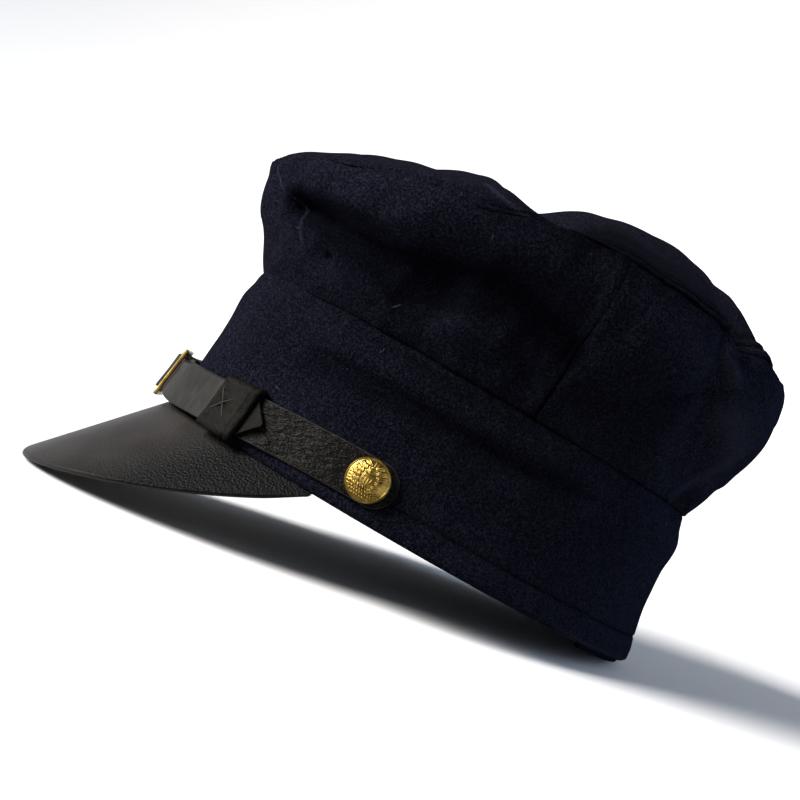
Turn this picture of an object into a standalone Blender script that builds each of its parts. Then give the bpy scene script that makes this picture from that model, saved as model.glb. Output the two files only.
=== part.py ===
"""A peaked cap: a soft crown of dark wool on a wool band, with a leather peak and a buckled leather strap.

The cap is drawn in the frame of its rim: +Z up from the head opening, -Y to the peak and +X to the wearer's
left. An empty then tips the whole cap back until it rests on its peak and on the back of its rim.
"""
import math

import bmesh
import bpy
from mathutils import Matrix, Vector

# Head and cloth
HEAD_LENGTH = 0.206
HEAD_WIDTH = 0.172
WOOL = 0.003
GAP = 0.0003
SEAM_GAP = 0.0004

# Band
BAND_HEIGHT = 0.062
BAND_TAPER_FRONT = 0.006
BAND_TAPER = 0.009

# Crown
CROWN_SPREAD = 0.018
EDGE_FRONT = 0.1035
EDGE_SIDE = 0.1285
EDGE_REAR = 0.1275
TOP_RISE = 0.0245
SEAM_DROP = 0.07
FOLD_UNIT = 0.010

# Peak
PEAK_DEPTH = 0.0600
PEAK_END_DEPTH = 0.0015
PEAK_HALF_RUN = 0.094
PEAK_SLOPE = 47.5
PEAK_SIDE_SLOPE = 52.0
PEAK_TURN = 0.62
PEAK_LEATHER = 0.0028
PEAK_EDGE_RADIUS = 0.0007

# Strap, buckle and keeper
STRAP_LEATHER = 0.0015
STRAP_WIDTH = 0.0170
STRAP_HEIGHT = 0.0090
STRAP_LIFT = 0.0048
STRAP_STANDOFF = 0.0024
BUTTON_RUN = 0.109
STRAP_BEYOND_BUTTON = 0.0115
POINT_PAST_KEEPER = 0.0070
KEEPER_RUN = 0.0505
KEEPER_WIDTH = 0.0170
KEEPER_LEATHER = 0.0014
BUCKLE_RUN = -0.0180
BUCKLE_LENGTH = 0.0180
BUCKLE_BAR = 0.0018
BUCKLE_THICKNESS = 0.0015
BUCKLE_ROOM = 0.0006
FAR_TURN_BACK = 0.0130

# Buttons
BUTTON_RADIUS = 0.0083
BUTTON_DOME = 0.0030
BUTTON_SKIRT = 0.0012
BUTTON_RELIEF = 0.00035

# Neck flap, folded up inside the back of the band
FLAP_CLOTH = 0.0020
FLAP_DROP = 0.0025
FLAP_HEIGHT = 0.038
FLAP_HALF_ANGLE = 53.0

# How finely the cloth is divided
CLOTH_COLUMNS = 64
BAND_ROWS = 6
SIDE_ROWS = 10
TOP_ROWS = 12

# The band's outline: height, as a share of the band's height, and how far it draws in, as a share of its taper.
BAND_SECTIONS = (
    # height, draw_in
    (0.00, 0.00),
    (0.20, 0.30),
    (0.45, 0.50),
    (0.62, 0.58),
    (0.80, 0.55),
    (0.92, 0.85),
    (1.00, 1.00),
)

# The crown's wall: height, as a share of its rise, and how far it spreads, as shares of the crown's spread.
CROWN_SECTIONS = (
    # height, front, side, rear
    (0.00, 0.00, 0.00, 0.00),
    (0.10, 0.16, 0.18, 0.18),
    (0.25, 0.36, 0.48, 0.36),
    (0.45, 0.70, 0.76, 0.52),
    (0.62, 0.87, 0.88, 0.62),
    (0.80, 0.99, 0.90, 0.62),
    (0.92, 1.08, 0.80, 0.50),
    (1.00, 1.04, 0.62, 0.22),
)

# The seams of the crown's wall: where each one leaves the band and where it reaches the top, in degrees.
CROWN_SEAMS = (
    # name of the panel that follows, angle at the band, angle at the top
    ("crown_front", -34.0, -22.0),
    ("crown_front_left", 34.0, 4.0),
    ("crown_rear_left", 89.0, 88.0),
    ("crown_rear_right", 180.0, 180.0),
    ("crown_front_right", 270.0, 270.0),
)

# Folds of the wall and the band: each follows a path of angles in degrees and climbs (-1 at the rim, 0 at the
# band's seam, 1 at the crown's edge), with a width and a depth in fold units. A depth above 0 stands out.
WALL_FOLDS = (
    # name, path, width, depth
    ("front hollow", ((20, 0.62), (36, 0.52), (48, 0.47), (60, 0.33)), 0.75, -0.75),
    ("side hollow", ((57, 0.60), (68, 0.53), (84, 0.48)), 1.05, -0.50),
    ("roll over the hollows", ((26, 0.84), (52, 0.76), (76, 0.80)), 1.20, 0.30),
    ("ridge under the hollow", ((32, 0.40), (42, 0.30), (50, 0.20)), 0.80, 0.30),
    ("front dimple", ((30, 0.28), (33, 0.24)), 0.35, -0.15),
    ("front pucker", ((4, 0.75), (9, 0.30)), 0.70, -0.22),
    ("seam pinch", ((85, 0.62), (88, 0.42)), 0.50, -0.22),
    ("seam foot puckers", ((78, 0.24), (98, 0.18)), 0.50, -0.20),
    ("rear valley", ((124, 1.04), (117, 0.84), (117, 0.68), (122, 0.44), (136, 0.16), (150, 0.02)), 0.85, -0.48),
    ("rear lobe", ((138, 0.70), (160, 0.56), (178, 0.52)), 1.80, 0.30),
    ("rear crease", ((107, 0.46), (113, 0.56)), 0.40, -0.22),
    ("band crease", ((36, -0.28), (64, -0.26), (92, -0.28), (114, -0.18)), 0.75, -0.20),
    ("right hollow", ((-28, 0.62), (-46, 0.50), (-66, 0.58)), 1.00, -0.60),
    ("right sag", ((-74, 0.60), (-96, 0.44), (-112, 0.50)), 1.10, -0.45),
    ("right rear valley", ((-138, 1.00), (-132, 0.60), (-146, 0.15)), 0.90, -0.42),
    ("right band crease", ((-60, -0.25), (-96, -0.32), (-124, -0.22)), 0.90, -0.18),
)

# Folds of the top: each follows a path of shares of its half width and half length.
TOP_FOLDS = (
    # name, path, width, depth
    ("saddle", ((0.84, -0.26), (0.45, -0.30), (0.00, -0.20), (-0.45, -0.26), (-0.62, -0.34)), 1.35, -1.05),
    ("saddle branch", ((0.02, -0.14), (-0.30, 0.04), (-0.62, 0.08)), 1.40, -0.45),
    ("rear swell", ((0.16, 0.36), (-0.10, 0.62)), 3.20, 1.00),
    ("front dip", ((0.40, -0.62), (-0.30, -0.66)), 1.80, -0.35),
    ("rear tuck", ((0.60, 0.85), (0.50, 0.66), (0.34, 0.60)), 0.80, -0.42),
    ("far dent", ((-0.72, 0.36), (-0.46, 0.46)), 1.70, -0.40),
)

FRONT, SIDE, REAR = 0.0, math.radians(90), math.radians(180)


def smooth(share):
    """Eases from 0 to 1."""
    share = min(1.0, max(0.0, share))
    return share * share * (3 - 2 * share)


def read_table(rows, share, column):
    """A value between the rows of a table, on a curve that runs through each of them."""
    last = len(rows) - 2
    index = max(0, min(last, sum(1 for row in rows[1:-1] if row[0] <= share)))
    low, high = rows[index], rows[index + 1]
    before, after = rows[max(0, index - 1)], rows[min(len(rows) - 1, index + 2)]
    span = high[0] - low[0]
    part = (share - low[0]) / span
    leave = (high[column] - before[column]) / (high[0] - before[0]) * span
    arrive = (after[column] - low[column]) / (after[0] - low[0]) * span
    square, cube = part * part, part * part * part
    return (
        low[column] * (2 * cube - 3 * square + 1)
        + leave * (cube - 2 * square + part)
        + high[column] * (3 * square - 2 * cube)
        + arrive * (cube - square)
    )


def around(angle, front, side, rear):
    """A value that eases from the front to the sides and from there to the rear."""
    along = math.cos(angle)
    end = front if along > 0 else rear
    return side + (end - side) * along * along


def taper(angle):
    """How far the band has drawn in at its top."""
    return around(angle, BAND_TAPER_FRONT, BAND_TAPER, BAND_TAPER)


def oval(angle, grow):
    """A point of the rim's outer outline, or of one that stands out from it by grow."""
    width = HEAD_WIDTH / 2 + WOOL + grow
    length = HEAD_LENGTH / 2 + WOOL + grow
    return Vector((width * math.sin(angle), -length * math.cos(angle), 0))


def oval_normal(angle):
    """The way that the rim's outline faces."""
    width = HEAD_WIDTH / 2 + WOOL
    length = HEAD_LENGTH / 2 + WOOL
    return Vector((length * math.sin(angle), -width * math.cos(angle), 0)).normalized()


def edge_height(angle):
    """Height of the crown's top seam above the rim."""
    return around(angle, EDGE_FRONT, EDGE_SIDE, EDGE_REAR)


def bare_point(angle, climb):
    """The cap's outer surface before its folds. climb is -1 at the rim, 0 at the band's seam, 1 at the crown's
    edge and 2 in the middle of the top."""
    if climb <= 0:
        share = climb + 1
        grow = -taper(angle) * read_table(BAND_SECTIONS, share, 1)
        return oval(angle, grow) + Vector((0, 0, BAND_HEIGHT * share))
    share = min(1.0, climb)
    spread = around(angle, *(read_table(CROWN_SECTIONS, share, column) for column in (1, 2, 3)))
    point = oval(angle, CROWN_SPREAD * spread - taper(angle))
    edge = edge_height(angle)
    if climb <= 1:
        return point + Vector((0, 0, BAND_HEIGHT + (edge - BAND_HEIGHT) * share))
    reach = 2 - climb
    middle = (EDGE_FRONT + EDGE_SIDE * 2 + EDGE_REAR) / 4
    height = middle + (edge - middle) * reach ** 2 + TOP_RISE * (1 - reach ** 2)
    return Vector((point.x * reach, point.y * reach, height))


def seam_climb(angle):
    """Where the top seam lies: just below the crown's edge, and lowest on the way from the front to the sides."""
    turned = abs((math.degrees(angle) + 180) % 360 - 180)
    dip = math.exp(-(((turned - 61) / 8) ** 2))
    return 1 - SEAM_DROP * (0.4 + 0.5 * smooth((74 - turned) / 12) + 0.8 * dip)


def wall_climb(angle, share):
    """The climb at a share of the wall's way up to the top seam."""
    return share + (seam_climb(angle) - 1) * smooth((share - 0.55) / 0.45)


def slope_of(surface, angle, climb):
    """The outward normal of a surface, from points on either side. Both sides of a level seam share theirs."""
    turn, step = math.radians(1.0), 0.02
    if abs(climb - round(climb)) < step:
        climb = round(climb)
    low, high = max(-1.0, climb - step), min(1.98, climb + step)
    across = surface(angle + turn, climb) - surface(angle - turn, climb)
    along = surface(angle, high) - surface(angle, low)
    return across.cross(along).normalized()


def fold_reach(place, path, width):
    """How strongly a fold acts at a place: 1 on its path, fading over its width."""
    nearest = math.inf
    for start, end in zip(path, path[1:]):
        line = end - start
        share = max(0.0, min(1.0, (place - start).dot(line) / line.length_squared))
        nearest = min(nearest, (place - start - line * share).length)
    return math.exp(-((nearest / width) ** 2))


def unroll(degrees, climb):
    """A place on the cloth laid out flat: the distance round it and the distance up it."""
    height = climb * BAND_HEIGHT if climb <= 0 else climb * (EDGE_FRONT + EDGE_REAR - BAND_HEIGHT * 2) / 2
    return Vector((math.radians(degrees) * HEAD_LENGTH / 2, height))


def fold_depth(angle, climb):
    """How far the folds push the cloth out or in."""
    degrees = math.degrees(angle)
    depth = 0.0
    for _, path, width, push in WALL_FOLDS:
        middle = (path[0][0] + path[-1][0]) / 2
        turned = (degrees - middle + 180) % 360 - 180 + middle
        line = [unroll(*stop) for stop in path]
        depth += push * FOLD_UNIT * fold_reach(unroll(turned, climb), line, width * FOLD_UNIT)
    if climb <= 0:
        return depth * smooth(1 + climb)
    plan = bare_point(angle, max(1.0, climb))
    across, along = HEAD_WIDTH / 2 + WOOL, HEAD_LENGTH / 2 + WOOL
    on_top = smooth((climb - 0.6) / 0.7)
    for _, path, width, push in TOP_FOLDS:
        line = [Vector((x * across, y * along)) for x, y in path]
        depth += on_top * push * FOLD_UNIT * fold_reach(Vector((plan.x, plan.y)), line, width * FOLD_UNIT)
    return depth


def cloth_point(angle, climb):
    """The cap's outer surface with its folds."""
    return bare_point(angle, climb) + slope_of(bare_point, angle, climb) * fold_depth(angle, climb)


def lining_point(angle, climb, seam=None):
    """The inner side of the cloth, one wall in from the outer side. Both sides of a seam face the same way."""
    if climb <= -1:
        return cloth_point(angle, climb) - oval_normal(angle) * WOOL
    faced = climb if seam is None else seam
    normal = slope_of(cloth_point, angle, faced)
    mitre = 1.0
    if abs(faced - 1) < 0.02:
        mitre = max(0.5, normal.dot(slope_of(cloth_point, angle, 0.95)))
    return cloth_point(angle, climb) - normal * (WOOL / mitre)


def make_material(name, colour, roughness, metallic=0.0):
    material = bpy.data.materials.new(name)
    material.use_nodes = True
    shader = material.node_tree.nodes["Principled BSDF"]
    shader.inputs["Base Color"].default_value = (*colour, 1.0)
    shader.inputs["Roughness"].default_value = roughness
    shader.inputs["Metallic"].default_value = metallic
    return material


def add_object(name, mesh, material, parent):
    """Turns a bmesh into a named object under the cap's empty."""
    data = bpy.data.meshes.new(name)
    mesh.to_mesh(data)
    mesh.free()
    data.materials.append(material)
    made = bpy.data.objects.new(name, data)
    bpy.context.scene.collection.objects.link(made)
    made.parent = parent
    return made


def closed_shell(outer, inner, wrap, poles=None):
    """A wall between two grids of points, closed along its edges. Rows run up and columns run round.
    With poles, the last row is closed by a fan to one outer and one inner point."""
    mesh = bmesh.new()
    skins = [[[mesh.verts.new(point) for point in row] for row in grid] for grid in (outer, inner)]
    front, back = skins
    columns = len(outer[0])
    steps = range(columns if wrap else columns - 1)
    for row in range(len(outer) - 1):
        for here in steps:
            there = (here + 1) % columns
            mesh.faces.new((front[row][here], front[row][there], front[row + 1][there], front[row + 1][here]))
            mesh.faces.new((back[row][there], back[row][here], back[row + 1][here], back[row + 1][there]))
        if not wrap:
            mesh.faces.new((front[row][0], front[row + 1][0], back[row + 1][0]))
            mesh.faces.new((front[row][0], back[row + 1][0], back[row][0]))
            mesh.faces.new((front[row + 1][-1], front[row][-1], back[row + 1][-1]))
            mesh.faces.new((front[row][-1], back[row][-1], back[row + 1][-1]))
    for here in steps:
        there = (here + 1) % columns
        mesh.faces.new((back[0][here], back[0][there], front[0][here]))
        mesh.faces.new((back[0][there], front[0][there], front[0][here]))
        if not poles:
            mesh.faces.new((front[-1][here], back[-1][there], back[-1][here]))
            mesh.faces.new((front[-1][here], front[-1][there], back[-1][there]))
    if poles:
        top, under = (mesh.verts.new(point) for point in poles)
        for here in steps:
            there = (here + 1) % columns
            mesh.faces.new((front[-1][here], front[-1][there], top))
            mesh.faces.new((back[-1][there], back[-1][here], under))
    return mesh


def shade_round(made, degrees=40):
    made.data.shade_smooth()
    made.data.set_sharp_from_angle(angle=math.radians(degrees))


def spaced(low, high, count):
    return [low + (high - low) * step / (count - 1) for step in range(count)]


def build_band(parent, wool):
    """The wool band round the head, open below and above."""
    angles = [math.tau * step / CLOTH_COLUMNS for step in range(CLOTH_COLUMNS)]
    climbs = spaced(-1.0, -GAP / 2 / BAND_HEIGHT, BAND_ROWS)
    outer = [[cloth_point(angle, climb) for angle in angles] for climb in climbs]
    inner = [[lining_point(angle, climb) for angle in angles] for climb in climbs]
    shade_round(add_object("band", closed_shell(outer, inner, wrap=True), wool, parent))


def seam_inset(low, high):
    """Half of a seam's gap as an angle, wider where the seam leans."""
    rise = (EDGE_FRONT + EDGE_REAR) / 2 - BAND_HEIGHT
    lean = math.radians(high - low) * HEAD_LENGTH / 2 / rise
    return SEAM_GAP / HEAD_WIDTH * math.hypot(1, lean)


def panel_angles(index, climb, gap=True):
    """The angles of a wall panel's columns at one height, from its first seam to the next one."""
    _, start_low, start_high = CROWN_SEAMS[index]
    _, end_low, end_high = CROWN_SEAMS[(index + 1) % len(CROWN_SEAMS)]
    turn = 360 if index == len(CROWN_SEAMS) - 1 else 0
    span = (end_low + end_high - start_low - start_high) / 2 + turn
    start = math.radians(start_low + (start_high - start_low) * climb)
    end = math.radians(end_low + (end_high - end_low) * climb + turn)
    if gap:
        start += seam_inset(start_low, start_high)
        end -= seam_inset(end_low, end_high)
    return spaced(start, end, round(span / 360 * CLOTH_COLUMNS) + 1)


def build_crown_walls(parent, wool):
    """The panels of the crown's wall, sewn side by side above the band."""
    inset = SEAM_GAP / 2 / (EDGE_FRONT - BAND_HEIGHT)
    shares = spaced(inset, 1 - inset, SIDE_ROWS)
    for index, (name, _, _) in enumerate(CROWN_SEAMS):
        outer, inner = [], []
        for share in shares:
            angles = panel_angles(index, share)
            places = [(angle, wall_climb(angle, share)) for angle in angles]
            seams = [seam_climb(angle) if share > 0.99 else None for angle in angles]
            outer.append([cloth_point(*place) for place in places])
            inner.append([lining_point(*place, seam) for place, seam in zip(places, seams)])
        shade_round(add_object(name, closed_shell(outer, inner, wrap=False), wool, parent), 60)


def build_crown_top(parent, wool):
    """The round top piece, puffed up above its seam. Its columns meet those of the wall."""
    panels = range(len(CROWN_SEAMS))
    angles = [angle for index in panels for angle in panel_angles(index, 1, gap=False)[:-1]]
    inset = SEAM_GAP / 2 / (EDGE_FRONT - BAND_HEIGHT)
    outer, inner = [], []
    for row in range(TOP_ROWS):
        climb = 1 + 0.965 * (max(0, row - 1) / (TOP_ROWS - 2)) ** 0.85
        places = [(angle, climb if row else seam_climb(angle) + inset) for angle in angles]
        outer.append([cloth_point(*place) for place in places])
        seams = [seam_climb(angle) if row == 0 else None for angle in angles]
        inner.append([lining_point(*place, seam) for place, seam in zip(places, seams)])
    middle_height = (EDGE_FRONT + EDGE_SIDE * 2 + EDGE_REAR) / 4 + TOP_RISE + fold_depth(0, 1.999)
    poles = (Vector((0, 0, middle_height)), Vector((0, 0, middle_height - WOOL)))
    top = add_object("crown_top", closed_shell(outer, inner, wrap=True, poles=poles), wool, parent)
    shade_round(top, 60)


def build_neck_flap(parent, cloth):
    """The flap of cloth folded up inside the back of the band, whose fold shows below the rim."""
    half = math.radians(FLAP_HALF_ANGLE)
    angles = spaced(math.pi - half, math.pi + half, 19)
    heights = spaced(-FLAP_DROP, FLAP_HEIGHT, 5)

    def place(angle, height, layer):
        climb = max(-1.0, height / BAND_HEIGHT - 1)
        wall = cloth_point(angle, climb)
        inward = oval_normal(angle) * (WOOL + GAP + layer)
        return Vector((wall.x, wall.y, height)) - inward

    outer = [[place(angle, height, 0) for angle in angles] for height in heights]
    inner = [[place(angle, height, FLAP_CLOTH) for angle in angles] for height in heights]
    return add_object("neck_flap", closed_shell(outer, inner, wrap=False), cloth, parent)


def make_run_table():
    """Angles round the band with the distance that each lies from the middle of the front."""
    steps = 360
    table = [(0.0, 0.0)]
    for step in range(1, steps + 1):
        angle = math.pi * step / steps
        length = (oval(angle, 0) - oval(math.pi * (step - 1) / steps, 0)).length
        table.append((table[-1][0] + length, angle))
    return table


RUN_TABLE = make_run_table()


def angle_at(run):
    """The angle at a distance round the band from the middle of the front, to the wearer's left if positive."""
    wanted = abs(run)
    for (low, low_angle), (high, high_angle) in zip(RUN_TABLE, RUN_TABLE[1:]):
        if wanted <= high:
            found = low_angle + (high_angle - low_angle) * (wanted - low) / (high - low)
            return math.copysign(found, run)
    raise ValueError("the run is longer than half the rim")


def build_peak(parent, leather):
    """The leather peak, sewn under the front of the band."""
    columns, rows = 33, 6

    def frame(share):
        angle = angle_at(share * PEAK_HALF_RUN)
        turned = angle * PEAK_TURN
        forward = Vector((math.sin(turned), -math.cos(turned), 0))
        slope = math.radians(PEAK_SLOPE + (PEAK_SIDE_SLOPE - PEAK_SLOPE) * share * share)
        depth = PEAK_END_DEPTH + (PEAK_DEPTH - PEAK_END_DEPTH) * (1 - abs(share) ** 1.7)
        out = forward * math.cos(slope) - Vector((0, 0, math.sin(slope)))
        return angle, out, depth

    def top_point(share, reach):
        angle, out, depth = frame(share)
        root = oval(angle, 0) - Vector((0, 0, GAP))
        if reach < 0:
            return root - oval_normal(angle) * WOOL
        return root + out * (depth * reach)

    def under_point(share, reach):
        along = top_point(min(1, share + 0.01), reach) - top_point(max(-1, share - 0.01), reach)
        if reach < 0:
            return top_point(share, reach) - Vector((0, 0, PEAK_LEATHER))
        out = frame(share)[1]
        normal = along.cross(out).normalized()
        if reach > 0:
            return top_point(share, reach) + normal * PEAK_LEATHER
        mitred = (normal - Vector((0, 0, 1))).normalized()
        return top_point(share, reach) + mitred * (PEAK_LEATHER / mitred.dot(normal))

    shares = spaced(-1, 1, columns)
    reaches = [-1] + spaced(0, 1, rows)
    top = [[top_point(share, reach) for share in shares] for reach in reaches]
    under = [[under_point(share, reach) for share in shares] for reach in reaches]
    peak = add_object("peak", closed_shell(under, top, wrap=False), leather, parent)
    bevel = peak.modifiers.new("edge", "BEVEL")
    bevel.width = PEAK_EDGE_RADIUS
    bevel.segments = 1
    bevel.limit_method = "ANGLE"
    bevel.angle_limit = math.radians(60)
    shade_round(peak)
    return peak


def strap_standoff(run):
    """How far the strap's back stands off the band: close at the buttons, further where the keeper passes."""
    free = abs(run) - KEEPER_RUN - KEEPER_WIDTH / 2
    return GAP + (STRAP_STANDOFF - GAP) * (1 - smooth(free / 0.020))


def strap_height(run):
    """Height of the strap's middle line above the rim. It rises a little towards the buttons."""
    return STRAP_HEIGHT + STRAP_LIFT * smooth(abs(run) / BUTTON_RUN)


def on_band(run, off, height):
    """A point that stands off the band's outer face."""
    angle = angle_at(run)
    climb = height / BAND_HEIGHT - 1
    return cloth_point(angle, climb) + oval_normal(angle) * off


def strip(path, half_heights, thickness):
    """A leather strip stood on edge along a path of (run, off) pairs, with its half height at each pair."""
    mesh = bmesh.new()
    rings = []
    for index, ((run, off), half) in enumerate(zip(path, half_heights)):
        before, after = path[max(0, index - 1)], path[min(len(path) - 1, index + 1)]
        along = Vector((after[0] - before[0], after[1] - before[1])).normalized()
        aside = Vector((-along.y, along.x)) * (thickness / 2)
        middle = strap_height(run)
        corners = []
        for side, height in ((1, -half), (-1, -half), (-1, half), (1, half)):
            corners.append(on_band(run + side * aside.x, off + side * aside.y, middle + height))
        rings.append([mesh.verts.new(corner) for corner in corners])
    for low, high in zip(rings, rings[1:]):
        for here in range(4):
            there = (here + 1) % 4
            mesh.faces.new((low[here], low[there], high[there], high[here]))
    mesh.faces.new(rings[0][::-1])
    mesh.faces.new(rings[-1])
    bmesh.ops.recalc_face_normals(mesh, faces=mesh.faces)
    return mesh


def layer_off(run, layer):
    """Where the middle of the strap's first or second layer lies."""
    return strap_standoff(run) + STRAP_LEATHER * (layer + 0.5) + GAP * layer


def round_end(from_end):
    """Half height of the strap near its round end."""
    half = STRAP_WIDTH / 2
    if from_end >= half:
        return half
    return max(0.25, math.sqrt(1 - (1 - from_end / half) ** 2)) * half


def pointed_end(from_end):
    """Half height of the strap near its pointed end."""
    return STRAP_WIDTH / 2 * min(1.0, 0.16 + 0.84 * from_end / (STRAP_WIDTH * 0.46))


def buckle_off():
    """Where the middle of the buckle's frame lies, clear of the two layers under it."""
    return layer_off(BUCKLE_RUN, 1) + STRAP_LEATHER / 2 + GAP + BUCKLE_THICKNESS / 2


def bar_place(along):
    """Run and offset of a bar of the flat buckle, at a distance along the frame from its middle."""
    turn, place = facing_frame(BUCKLE_RUN, buckle_off(), strap_height(BUCKLE_RUN))
    bar = place + turn.to_3x3().col[0] * along
    run = BUCKLE_RUN + along
    for _ in range(4):
        away = bar - on_band(run, 0, STRAP_HEIGHT)
        out = oval_normal(angle_at(run))
        run += away.x * -out.y + away.y * out.x
    return run, away.x * out.x + away.y * out.y


def wrap_path(bar_run, bar_off, low_off, side, clear):
    """The fold of a strap round an upright bar: in under it, round its outer side and over it."""
    high_off = bar_off + BUCKLE_THICKNESS / 2 + GAP * 2 + STRAP_LEATHER / 2
    middle, radius = (low_off + high_off) / 2, (high_off - low_off) / 2
    reach = BUCKLE_BAR / 2 + GAP + STRAP_LEATHER / 2 + clear
    turns = [math.radians(-90 + 180 * step / 10) for step in range(11)]
    return [(bar_run + side * reach * math.cos(turn), middle + radius * math.sin(turn)) for turn in turns]


def build_near_strap(parent, leather):
    """The strap from the left button, round the buckle's middle bar and back to its point past the keeper."""
    start = BUTTON_RUN + STRAP_BEYOND_BUTTON
    half = STRAP_WIDTH / 2
    close = [start - half * (1 - math.cos(math.radians(turn))) for turn in (14, 34, 56, 78)]
    runs = close + spaced(start - half * 1.2, BUCKLE_RUN + 0.003, 26)
    path = [(run, layer_off(run, 0)) for run in runs]
    path += wrap_path(BUCKLE_RUN, buckle_off(), layer_off(BUCKLE_RUN, 0), -1, STRAP_LEATHER * 0.5)
    top_off = path[-1][1]
    window = BUCKLE_LENGTH / 2 - BUCKLE_BAR * 1.5
    for step in range(7):
        share = step / 6
        run = BUCKLE_RUN + BUCKLE_BAR * 0.75 + window * 0.85 * share
        path.append((run, top_off + (layer_off(run, 1) - top_off) * smooth(share)))
    tip = KEEPER_RUN + KEEPER_WIDTH / 2 + POINT_PAST_KEEPER
    runs = spaced(path[-1][0] + 0.004, tip - STRAP_WIDTH * 0.46, 14) + spaced(tip - STRAP_WIDTH * 0.3, tip, 4)
    path += [(run, layer_off(run, 1)) for run in runs]
    back = len(runs)
    halves = []
    for index, (run, _) in enumerate(path):
        returning = index >= len(path) - back
        halves.append(pointed_end(tip - run) if returning else round_end(start - run))
    strap = add_object("strap_left", strip(path, halves, STRAP_LEATHER), leather, parent)
    shade_round(strap)


def build_far_strap(parent, leather):
    """The strap from the right button to the buckle's far bar, turned back on itself and sewn down."""
    start = -(BUTTON_RUN + STRAP_BEYOND_BUTTON)
    half = STRAP_WIDTH / 2
    bar_run, bar_off = bar_place((BUCKLE_BAR - BUCKLE_LENGTH) / 2)
    close = [start + half * (1 - math.cos(math.radians(turn))) for turn in (14, 34, 56, 78)]
    runs = close + spaced(start + half * 1.2, bar_run - 0.003, 22)
    path = [(run, layer_off(run, 0)) for run in runs]
    path += wrap_path(bar_run, bar_off, layer_off(bar_run, 0), 1, GAP)
    top_off = path[-1][1]
    for step in range(1, 6):
        share = step / 5
        run = bar_run - 0.005 * share
        path.append((run, top_off + (layer_off(run, 1) - top_off) * smooth(share)))
    runs = spaced(path[-1][0] - 0.002, bar_run - 0.005 - FAR_TURN_BACK, 5)
    path += [(run, layer_off(run, 1)) for run in runs]
    halves = [round_end(run - start) for run, _ in path]
    strap = add_object("strap_right", strip(path, halves, STRAP_LEATHER), leather, parent)
    shade_round(strap)


def build_keeper(parent, leather):
    """The leather loop that holds the strap's two layers together."""
    low = strap_standoff(KEEPER_RUN) - GAP
    high = layer_off(KEEPER_RUN, 1) + STRAP_LEATHER / 2 + GAP
    half = STRAP_WIDTH / 2 + GAP * 2
    corner = 0.0006
    runs = spaced(KEEPER_RUN - KEEPER_WIDTH / 2, KEEPER_RUN + KEEPER_WIDTH / 2, 7)

    def ring(run, grow):
        """The loop's outline round the strap, with round corners."""
        points = []
        radius = corner + grow
        for centre_off, centre_height, first in (
            (low + corner, -half + corner, 180),
            (high - corner, -half + corner, 270),
            (high - corner, half - corner, 0),
            (low + corner, half - corner, 90),
        ):
            for step in range(4):
                turn = math.radians(first + 90 * step / 3)
                off = centre_off + radius * math.cos(turn)
                height = centre_height + radius * math.sin(turn)
                points.append(on_band(run, off, strap_height(run) + height))
        return points

    outer = [ring(run, KEEPER_LEATHER) for run in runs]
    inner = [ring(run, 0) for run in runs]
    mesh = closed_shell(outer, inner, wrap=True)
    bmesh.ops.recalc_face_normals(mesh, faces=mesh.faces)
    shade_round(add_object("keeper_loop", mesh, leather, parent))


def facing_frame(run, off, height):
    """Axes for a piece laid on the strap: X along it to the left, Y up it and Z out of it."""
    top, bottom = (on_band(run, off, height + side * STRAP_WIDTH / 2) for side in (1, -1))
    place = (top + bottom) / 2
    out = oval_normal(angle_at(run))
    up = (top - bottom).normalized()
    along = up.cross(out).normalized()
    out = along.cross(up).normalized()
    return Matrix((along, up, out)).transposed().to_4x4(), place


def place_on_band(made, run, off, height):
    turn, place = facing_frame(run, off, height)
    made.matrix_local = Matrix.Translation(place) @ turn


def box_mesh(width, height, depth):
    mesh = bmesh.new()
    bmesh.ops.create_cube(mesh, size=1, matrix=Matrix.Diagonal((width, height, depth, 1)))
    return mesh


def build_buckle(parent, brass):
    """The brass frame with its middle bar, stood on edge over the strap."""
    window = (BUCKLE_LENGTH - BUCKLE_BAR * 3) / 2
    opening = STRAP_WIDTH + BUCKLE_ROOM * 2
    mesh = box_mesh(BUCKLE_LENGTH, opening + BUCKLE_BAR * 2, BUCKLE_THICKNESS)
    frame = add_object("buckle", mesh, brass, parent)
    for side in (-1, 1):
        mesh = box_mesh(window, opening, BUCKLE_THICKNESS * 3)
        cutter = add_object("buckle_window_cutter", mesh, brass, frame)
        cutter.location.x = side * (window + BUCKLE_BAR) / 2
        cutter.hide_render = True
        cutter.display_type = "WIRE"
        cut = frame.modifiers.new("window", "BOOLEAN")
        cut.object = cutter
    bevel = frame.modifiers.new("soft edges", "BEVEL")
    bevel.width = BUCKLE_BAR * 0.16
    bevel.segments = 1
    bevel.limit_method = "ANGLE"
    place_on_band(frame, BUCKLE_RUN, buckle_off(), strap_height(BUCKLE_RUN))
    shade_round(frame)


def relief(across, up):
    """The button's cast relief: a shield between two sprays of leaves, over a stippled field."""
    height = 0.0
    half_width = 0.26 * min(1.0, max(0.0, (up + 0.30) / 0.30)) ** 0.6
    if -0.30 < up < 0.36 and abs(across) < half_width:
        height = 1.0
    for level in (-0.42, -0.14, 0.14, 0.42):
        lean = 0.52 - 0.10 * abs(level)
        away_x, away_y = abs(across) - lean, up - level
        turned_x = away_x * 0.80 + away_y * 0.60
        turned_y = away_y * 0.80 - away_x * 0.60
        leaf = (turned_x / 0.24) ** 2 + (turned_y / 0.09) ** 2
        if leaf < 1:
            height = max(height, 1 - leaf)
    return height


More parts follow.
